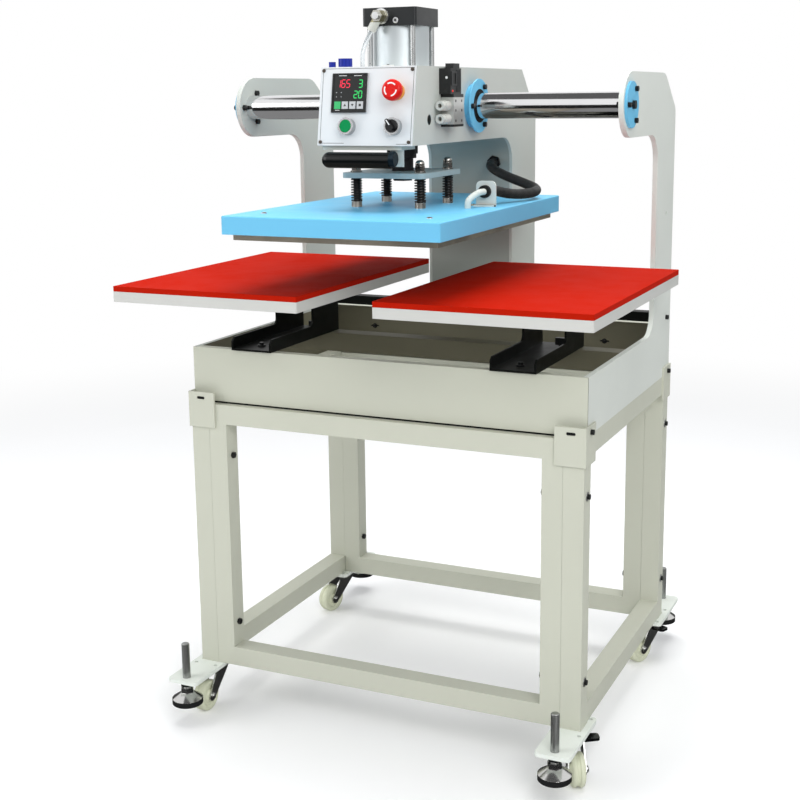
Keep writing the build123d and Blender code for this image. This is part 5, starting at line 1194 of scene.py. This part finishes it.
class PRESS_OT_rolling_gear(bpy.types.Operator):
    """Casters, brake pedals and levelling feet"""
    bl_idname = "press.rolling_gear"
    bl_label = "Casters and feet"

    def execute(self, context):
        dress("caster", "caster_mounts")
        for corner, heading in CASTER_HEADINGS.items():
            dress("caster", f"caster_fork_{corner}")
            dress("nylon", f"caster_wheel_{corner}")
            dress("foot", f"levelling_foot_{corner}")
            side = 1 if corner.endswith("right") else -1
            end = -1 if corner.startswith("front") else 1
            self.cut_thread(corner, side * FOOT_X, -0.374 if end < 0 else 0.434)
            self.head_rivets(corner, Vector((side * FOOT_X, -0.265 if end < 0 else 0.325, 0.0325)), heading)
        for end in ("front", "rear"):
            dress("black_plastic", f"brake_pedal_{end}_right")
        return {"FINISHED"}

    def cut_thread(self, corner, x, y):
        """The thread of a levelling stud: one ridge that winds up the stud."""
        bottom, top, pitch, radius, ridge, steps = 0.0805, 0.1720, 0.0020, 0.00775, 0.0005, 18
        total = int((top - bottom) / pitch * steps)
        line = [(x + radius * cos(tau * n / steps), y + radius * sin(tau * n / steps),
                 bottom + pitch * n / steps) for n in range(total + 1)]
        work = bmesh.new()
        add_tube(work, line, ridge, 4)
        name = f"stud_thread_{corner}"
        add_piece(name, work, "zinc", f"levelling_foot_{corner}", smooth=80.0)

    def head_rivets(self, corner, middle, heading):
        """Polished domes on the two ends of a caster's axle, on the side that the fork trails to."""
        turn = radians(heading)
        across, trail = Vector((cos(turn), sin(turn), 0)), Vector((sin(turn), -cos(turn), 0))
        work = bmesh.new()
        for side in (-1, 1):
            add_dome(work, middle + trail * 0.042 + across * side * 0.0205, across * side, 0.0060, 0.0026)
        name = f"axle_rivets_{corner}"
        add_piece(name, work, "zinc", f"caster_fork_{corner}", smooth=60.0)


class PRESS_OT_stations(bpy.types.Operator):
    """Lower platens with their silicone pads"""
    bl_idname = "press.stations"
    bl_label = "Work stations"

    def execute(self, context):
        dress("platen", "lower_platens")
        dress("silicone", "silicone_pads")
        hide_from_gloss("silicone_pads", "lower_platens")
        return {"FINISHED"}


class PRESS_OT_head(bpy.types.Operator):
    """Sliding head, its cylinder, bearings, valve and handle"""
    bl_idname = "press.head"
    bl_label = "Sliding head"

    def execute(self, context):
        dress("press", "head_plate_left", "head_plate_right", "head_cover", "handle_bracket")
        # The liner's darker paint is painted shade
        dress("liner", "head_liner")
        dress("panel", "control_panel")
        dress("head_screw", "head_screws")
        dress("zinc", "guide_roller")
        dress("cover", "bearing_flanges")
        dress("cylinder", "cylinder_caps")
        dress("barrel", "cylinder_barrel")
        dress("valve", "air_valve")
        dress("handle", "handle_grip")
        dress("knob", "pressure_knob", "speed_knob")
        dress("ram", "ram")
        dress("spring_plate", "spring_plate")
        self.fit_plug()
        self.fit_valve_face()
        self.fit_small_parts()
        self.fit_wipers()
        self.shade_side_hole()
        return {"FINISHED"}

    def fit_wipers(self):
        """Black rings that wipe the bar where it enters the bearings."""
        gap, width, height = 0.0003, 0.0072, 0.0010
        low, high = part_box("bearing_flanges")
        work = bmesh.new()
        for x, side in ((low.x, -1), (high.x, 1)):
            add_washer(work, Vector((x, BAR_Y, BAR_Z)), ACROSS * side, BAR_RADIUS + gap,
                       BAR_RADIUS + gap + width, height)
        add_piece("bar_wipers", work, "seal_and_shade", "head")

    def shade_side_hole(self):
        """A black disc just inside the hole in the right side of the head: painted shade in the hole."""
        radius, inset = 0.0096, 0.0012
        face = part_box("head_plate_right")[1].x
        work = bmesh.new()
        add_lathe(work, [(radius, 0), (0, 0)], Vector((face - inset, -0.236, 1.222)), ACROSS, capped=False)
        add_piece("side_hole_shade", work, "seal_and_shade", "head")

    def fit_plug(self):
        """The hexagon in the plug of the cylinder's second port: a dark hexagon, painted shade in the
        recess.
        """
        work = bmesh.new()
        add_prism(work, hexagon(0.0030), Vector((0.0145, -0.2012, 1.4035)), ACROSS, UP, -BACK, 0.0001)
        add_piece("port_plug_socket", work, "dark_ink_and_shade", "head", smooth=0)

    def fit_valve_face(self):
        """Marks and mouldings on the coil: a dot, a framed window, a line and a lamp."""
        coil_face, block_face = 0.120, 0.123
        outer, inner = rectangle(0.163, 1.283, 0.187, 1.309), rectangle(0.166, 1.286, 0.184, 1.306)
        work = bmesh.new()
        for n in range(4):
            follow = (n + 1) % 4
            bar = [outer[n], outer[follow], inner[follow], inner[n]]
            add_prism(work, bar, ACROSS * coil_face, -BACK, UP, ACROSS, 0.0014)
        add_box(work, (coil_face, -0.188, 1.2800), (coil_face + 0.0004, -0.150, 1.2812))
        for n in range(4):
            rib_y = -0.144 - 0.005 * n
            add_box(work, (coil_face, rib_y - 0.0022, 1.272), (coil_face + 0.0012, rib_y, 1.312))
        add_piece("coil_mouldings", work, "grey_coil", "head", smooth=0)
        work = bmesh.new()
        add_disc(work, Vector((0.112, -0.190, 1.298)), -BACK, 0.0024, 0.0003)
        add_piece("coil_dot", work, "white_plastic", "head")
        work = bmesh.new()
        add_dome(work, Vector((coil_face, -0.180, 1.2735)), ACROSS, 0.0020, 0.0012)
        add_piece("coil_lamp", work, "lamp_red", "head")
        work = bmesh.new()
        for z in (1.2190, 1.2380, 1.2555):
            for y in (-0.172, -0.143):
                add_disc(work, Vector((block_face, y, z)), ACROSS, 0.0027, 0.0002, sides=20)
        add_piece("manifold_screws", work, "dark_ink_and_shade", "head")

    def fit_small_parts(self):
        """The white tab on the head's lid, and the nut of the sleeve where it leaves the column."""
        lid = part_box("head_cover")[1].z
        tab_top = lid + 0.0022
        work = bmesh.new()
        add_box(work, (0.027, -0.288, lid), (0.045, -0.274, tab_top))
        add_piece("lid_tab", work, "white_plastic", "head", smooth=0)
        work = bmesh.new()
        add_dome(work, Vector((0.036, -0.281, tab_top)), UP, 0.0028, 0.0016)
        add_piece("lid_tab_screw", work, "black_screw_and_shade", "head")
        work = bmesh.new()
        add_washer(work, Vector((0.0562, 0.2075, 1.1226)), -BACK, 0.0104, 0.0155, 0.0050, sides=6)
        add_piece("sleeve_nut", work, "black_plastic", "head")


class PRESS_OT_panel_face(bpy.types.Operator):
    """Instrument, buttons and the printed line of the control panel"""
    bl_idname = "press.panel_face"
    bl_label = "Control panel"

    def execute(self, context):
        dress("instrument", "controller")
        dress("collars", "button_collars")
        dress("stop", "stop_button")
        dress("start", "start_button")
        dress("black_plastic", "selector_knob")
        panel = context.scene.press_panel
        self.print_border(panel)
        self.light_display(panel)
        self.fit_keys(panel)
        self.mark_buttons(panel)
        return {"FINISHED"}

    def print_border(self, panel):
        """A thin line round the plate, open at the foot, and crosses in its screws."""
        lines = [rectangle(-90.6, 139.4, 92.6, 140.2), rectangle(91.8, 2.8, 92.6, 140.2),
                 rectangle(-90.6, 4.2, -89.8, 140.2), rectangle(-90.6, 4.2, -41, 5.0),
                 rectangle(64, 2.8, 86, 3.6)]
        panel_marks("border_line", lines, 0.0, panel.ink, "dark_ink_and_shade")
        # The crosses are dark marks in the screws' cross recesses: painted shade
        crosses = []
        for x in (-89, 89):
            for y in (6.5, 136.35):
                crosses += [rectangle(x - 1.9, y - 0.35, x + 1.9, y + 0.35),
                            rectangle(x - 0.35, y - 1.9, x + 0.35, y + 1.9)]
        panel_marks("panel_screw_crosses", crosses, 0.0018, panel.ink, "dark_ink_and_shade")

    def light_display(self, panel):
        """Plain numbers: three slanted red digits, one green digit beside them and two below."""
        red = digit_outlines("165", -59.5, 105.2, 13.6, 9.6)
        green = digit_outlines("3", -14.6, 105.0, 13.2, 8.0, slant=0.04)
        green += digit_outlines("20", -23.6, 86.0, 12.4, 9.4, slant=0.04)
        panel_marks("red_digits", red, panel.window, panel.ink, "digit_red")
        panel_marks("green_digits", green, panel.window, panel.ink, "digit_green")
        dots = [[(x + 0.9 * cos(tau * n / 12), y + 0.9 * sin(tau * n / 12)) for n in range(12)]
                for x in (-59.0, -49.4) for y in (96.0, 88.2)]
        panel_marks("display_dots", dots, panel.window, panel.ink, "grey_plastic_and_reflection")
        dashes = [rectangle(-56, 125.8, -40, 126.9), rectangle(-25.4, 125.6, -9.4, 126.7)]
        panel_marks("display_dashes", dashes, panel.window, panel.ink, "white_ink")

    def fit_keys(self, panel):
        """Soft keys, the first of them green with a light strip under it, and grey walls round the black
        case: a painted reflection on its sides.
        """
        keys = [rectangle(x - 6.3, 66.2, x + 6.3, 79.6) for x in (-55.95, -40.65, -25.35, -10.05)]
        panel_marks("key_green", keys[:1], panel.window, 0.0010, "key_green")
        panel_marks("keys_grey", keys[1:], panel.window, 0.0010, "grey_plastic_and_reflection")
        signs = [[(-43.4, 71.0), (-37.9, 71.0), (-40.65, 75.4)],
                 [(-28.1, 75.0), (-22.6, 75.0), (-25.35, 70.6)], rectangle(-12.4, 70.8, -7.7, 75.2)]
        panel_marks("key_signs", signs, panel.window + 0.0010, panel.ink, "dark_ink_and_shade")
        strip = [rectangle(-60.5, 63.4, -51.5, 64.4)]
        panel_marks("key_strip", strip, panel.window, panel.ink, "white_ink")
        # Grey walls round the black case: painted reflection on its sides
        inner, outer, x, y = 35.55, 36.0, -33, 95
        walls = [rectangle(x + inner, y - outer, x + outer, y + outer),
                 rectangle(x - outer, y - outer, x - inner, y + outer),
                 rectangle(x - inner, y - outer, x + inner, y - inner),
                 rectangle(x - inner, y + inner, x + inner, y + outer)]
        panel_marks("case_side_reflection", walls, 0.0, 0.0043, "grey_plastic_and_reflection")

    def mark_buttons(self, panel):
        """Bands that show which way the stop button turns, and the pointer of the selector."""
        bands = [[(61 + x, 96.5 + y) for x, y in ring_outline(10.3, 12.8, start, end, 10)]
                 for start, end in ((42, 122), (156, 232), (278, 356))]
        cap_height, knob_height = 0.0293, 0.021
        panel_marks("stop_bands", bands, cap_height, panel.ink, "white_ink", "stop_button")
        lean, middle, half_width = radians(38.0), Vector((59, 34.2)), 0.95
        along, aside = Vector((-sin(lean), cos(lean))), Vector((cos(lean), sin(lean))) * half_width
        near, far = middle + along * 1.0, middle + along * 12.4
        corners = [near - aside, near + aside, far + aside, far - aside]
        pointer = [[(corner.x, corner.y) for corner in corners]]
        panel_marks("selector_pointer", pointer, knob_height, panel.ink, "white_ink",
                    "selector")


class PRESS_OT_upper_platen(bpy.types.Operator):
    """Blue cover, heater plate, spring bolts and springs"""
    bl_idname = "press.upper_platen"
    bl_label = "Upper platen"

    def execute(self, context):
        dress("cover", "platen_cover")
        dress("heater", "heater_plate")
        dress("spring_bolts", "spring_bolts")
        dress("cable_bracket", "cable_bracket")
        self.wind_springs(context.scene.press_spring)
        self.fit_cover_screws()
        hide_from_gloss("platen_cover")
        return {"FINISHED"}

    def fit_cover_screws(self):
        """Domed screws of the cover, and the strip that the cable tab stands on."""
        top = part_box("platen_cover")[1].z
        strip_top = top + 0.0024
        work = bmesh.new()
        for x in (-0.165, 0.165):
            for y in (-0.395, 0.105):
                add_dome(work, Vector((x, y, top)), UP, 0.0058, 0.0026)
        add_piece("cover_screws", work, "zinc", "platen", smooth=60.0)
        work = bmesh.new()
        add_box(work, (0.126, -0.133, top), (0.1478, -0.117, strip_top))
        add_piece("tab_strip", work, "tab_paint", "platen", smooth=0)
        work = bmesh.new()
        add_dome(work, Vector((0.140, -0.125, strip_top)), UP, 0.0026, 0.0012)
        add_piece("tab_screw", work, "bronze_screw", "platen")

    def wind_springs(self, spring):
        """Four coils with their end turns closed."""
        low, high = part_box("springs")
        radius, reach = (spring.outer - spring.wire) / 2, spring.outer / 2
        places = [(x, y) for x in (low.x + reach, high.x - reach) for y in (low.y + reach, high.y - reach)]
        closed, steps, travel = 1.0, 40, 0.008
        height = spring.top - spring.bottom
        work = bmesh.new()
        for x, y in places:
            line = []
            for n in range(int(spring.turns * steps) + 1):
                turn = n / steps
                share = min(max((turn - closed * 0.5) / (spring.turns - closed), 0.0), 1.0)
                line.append((x + radius * cos(tau * turn), y + radius * sin(tau * turn),
                             spring.bottom + spring.wire / 2 + (height - spring.wire) * share))
            add_tube(work, line, spring.wire / 2, 10)
        piece = add_piece("platen_springs", work, "spring_wire", "platen", smooth=60.0)
        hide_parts("springs")
        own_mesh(piece)


class PRESS_OT_hoses(bpy.types.Operator):
    """Braided sleeve of the heater leads and the clear air hose"""
    bl_idname = "press.hoses"
    bl_label = "Hoses"

    def execute(self, context):
        self.lay_sleeve(context.scene.press_hose)
        self.lay_air_hose(context.scene.press_hose)
        return {"FINISHED"}

    def lay_sleeve(self, hoses):
        route = [
            (0.056, 0.2215, 1.123), (0.0565, 0.194, 1.122), (0.062, 0.168, 1.119), (0.076, 0.146, 1.113),
            (0.098, 0.129, 1.105), (0.126, 0.119, 1.096), (0.155, 0.113, 1.087), (0.182, 0.099, 1.080),
            (0.199, 0.076, 1.0755), (0.203, 0.047, 1.073), (0.197, 0.015, 1.072), (0.187, -0.017, 1.073),
            (0.176, -0.048, 1.077), (0.1685, -0.078, 1.0835), (0.167, -0.104, 1.086),
            (0.167, -0.130, 1.086),
        ]
        line = smooth_line("sleeve_line", route)
        work = bmesh.new()
        chart = work.loops.layers.uv.new("sleeve")
        add_tube(work, line, hoses.sleeve_diameter / 2, hoses.sides, chart,
                 swell=lambda share: 1.0 - 0.018 * (1 + sin(41 * share) * cos(97 * share)))
        piece = add_piece("lead_sleeve", work, "sleeve", None, smooth=60.0)
        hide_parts("conduit")
        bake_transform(piece)

    def lay_air_hose(self, hoses):
        route = [(-0.029, -0.2137, 1.38552), (-0.036, -0.2137, 1.37339), (-0.042, -0.2185, 1.357),
                 (-0.043, -0.2265, 1.3375), (-0.035, -0.2395, 1.304)]
        line = smooth_line("hose_line", route)
        work = bmesh.new()
        add_tube(work, line, hoses.hose_diameter / 2, hoses.sides)
        piece = add_piece("clear_air_hose", work, "clear_hose", "head", smooth=60.0)
        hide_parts("air_hose")


operators = (PRESS_OT_stage, PRESS_OT_stand, PRESS_OT_rolling_gear, PRESS_OT_stations, PRESS_OT_head,
             PRESS_OT_panel_face, PRESS_OT_upper_platen, PRESS_OT_hoses)


class PRESS_PT_sidebar(bpy.types.Panel):
    """Buttons that dress the heat press, group by group"""
    bl_label = "Heat press"
    bl_idname = "PRESS_PT_sidebar"
    bl_space_type = "VIEW_3D"
    bl_region_type = "UI"
    bl_category = "Heat press"

    def draw(self, context):
        column = self.layout.column(align=True)
        for operator in operators:
            column.operator(operator.bl_idname)


scene_settings = {
    "press_camera": CameraSettings, "press_studio": StudioSettings, "press_paint": PaintSettings,
    "press_panel": PanelSettings, "press_hose": HoseSettings, "press_spring": SpringSettings,
}


def register():
    for cls in settings_classes + operators + (PRESS_PT_sidebar,):
        bpy.utils.register_class(cls)
    for name, cls in scene_settings.items():
        setattr(bpy.types.Scene, name, PointerProperty(type=cls))


def unregister():
    for name in scene_settings:
        delattr(bpy.types.Scene, name)
    for cls in reversed(settings_classes + operators + (PRESS_PT_sidebar,)):
        bpy.utils.unregister_class(cls)


def main():
    register()
    build_effects()
    mix_finishes()
    for operator in operators:
        group, action = operator.bl_idname.split(".")
        getattr(getattr(bpy.ops, group), action)()


if __name__ == "__main__":
    main()
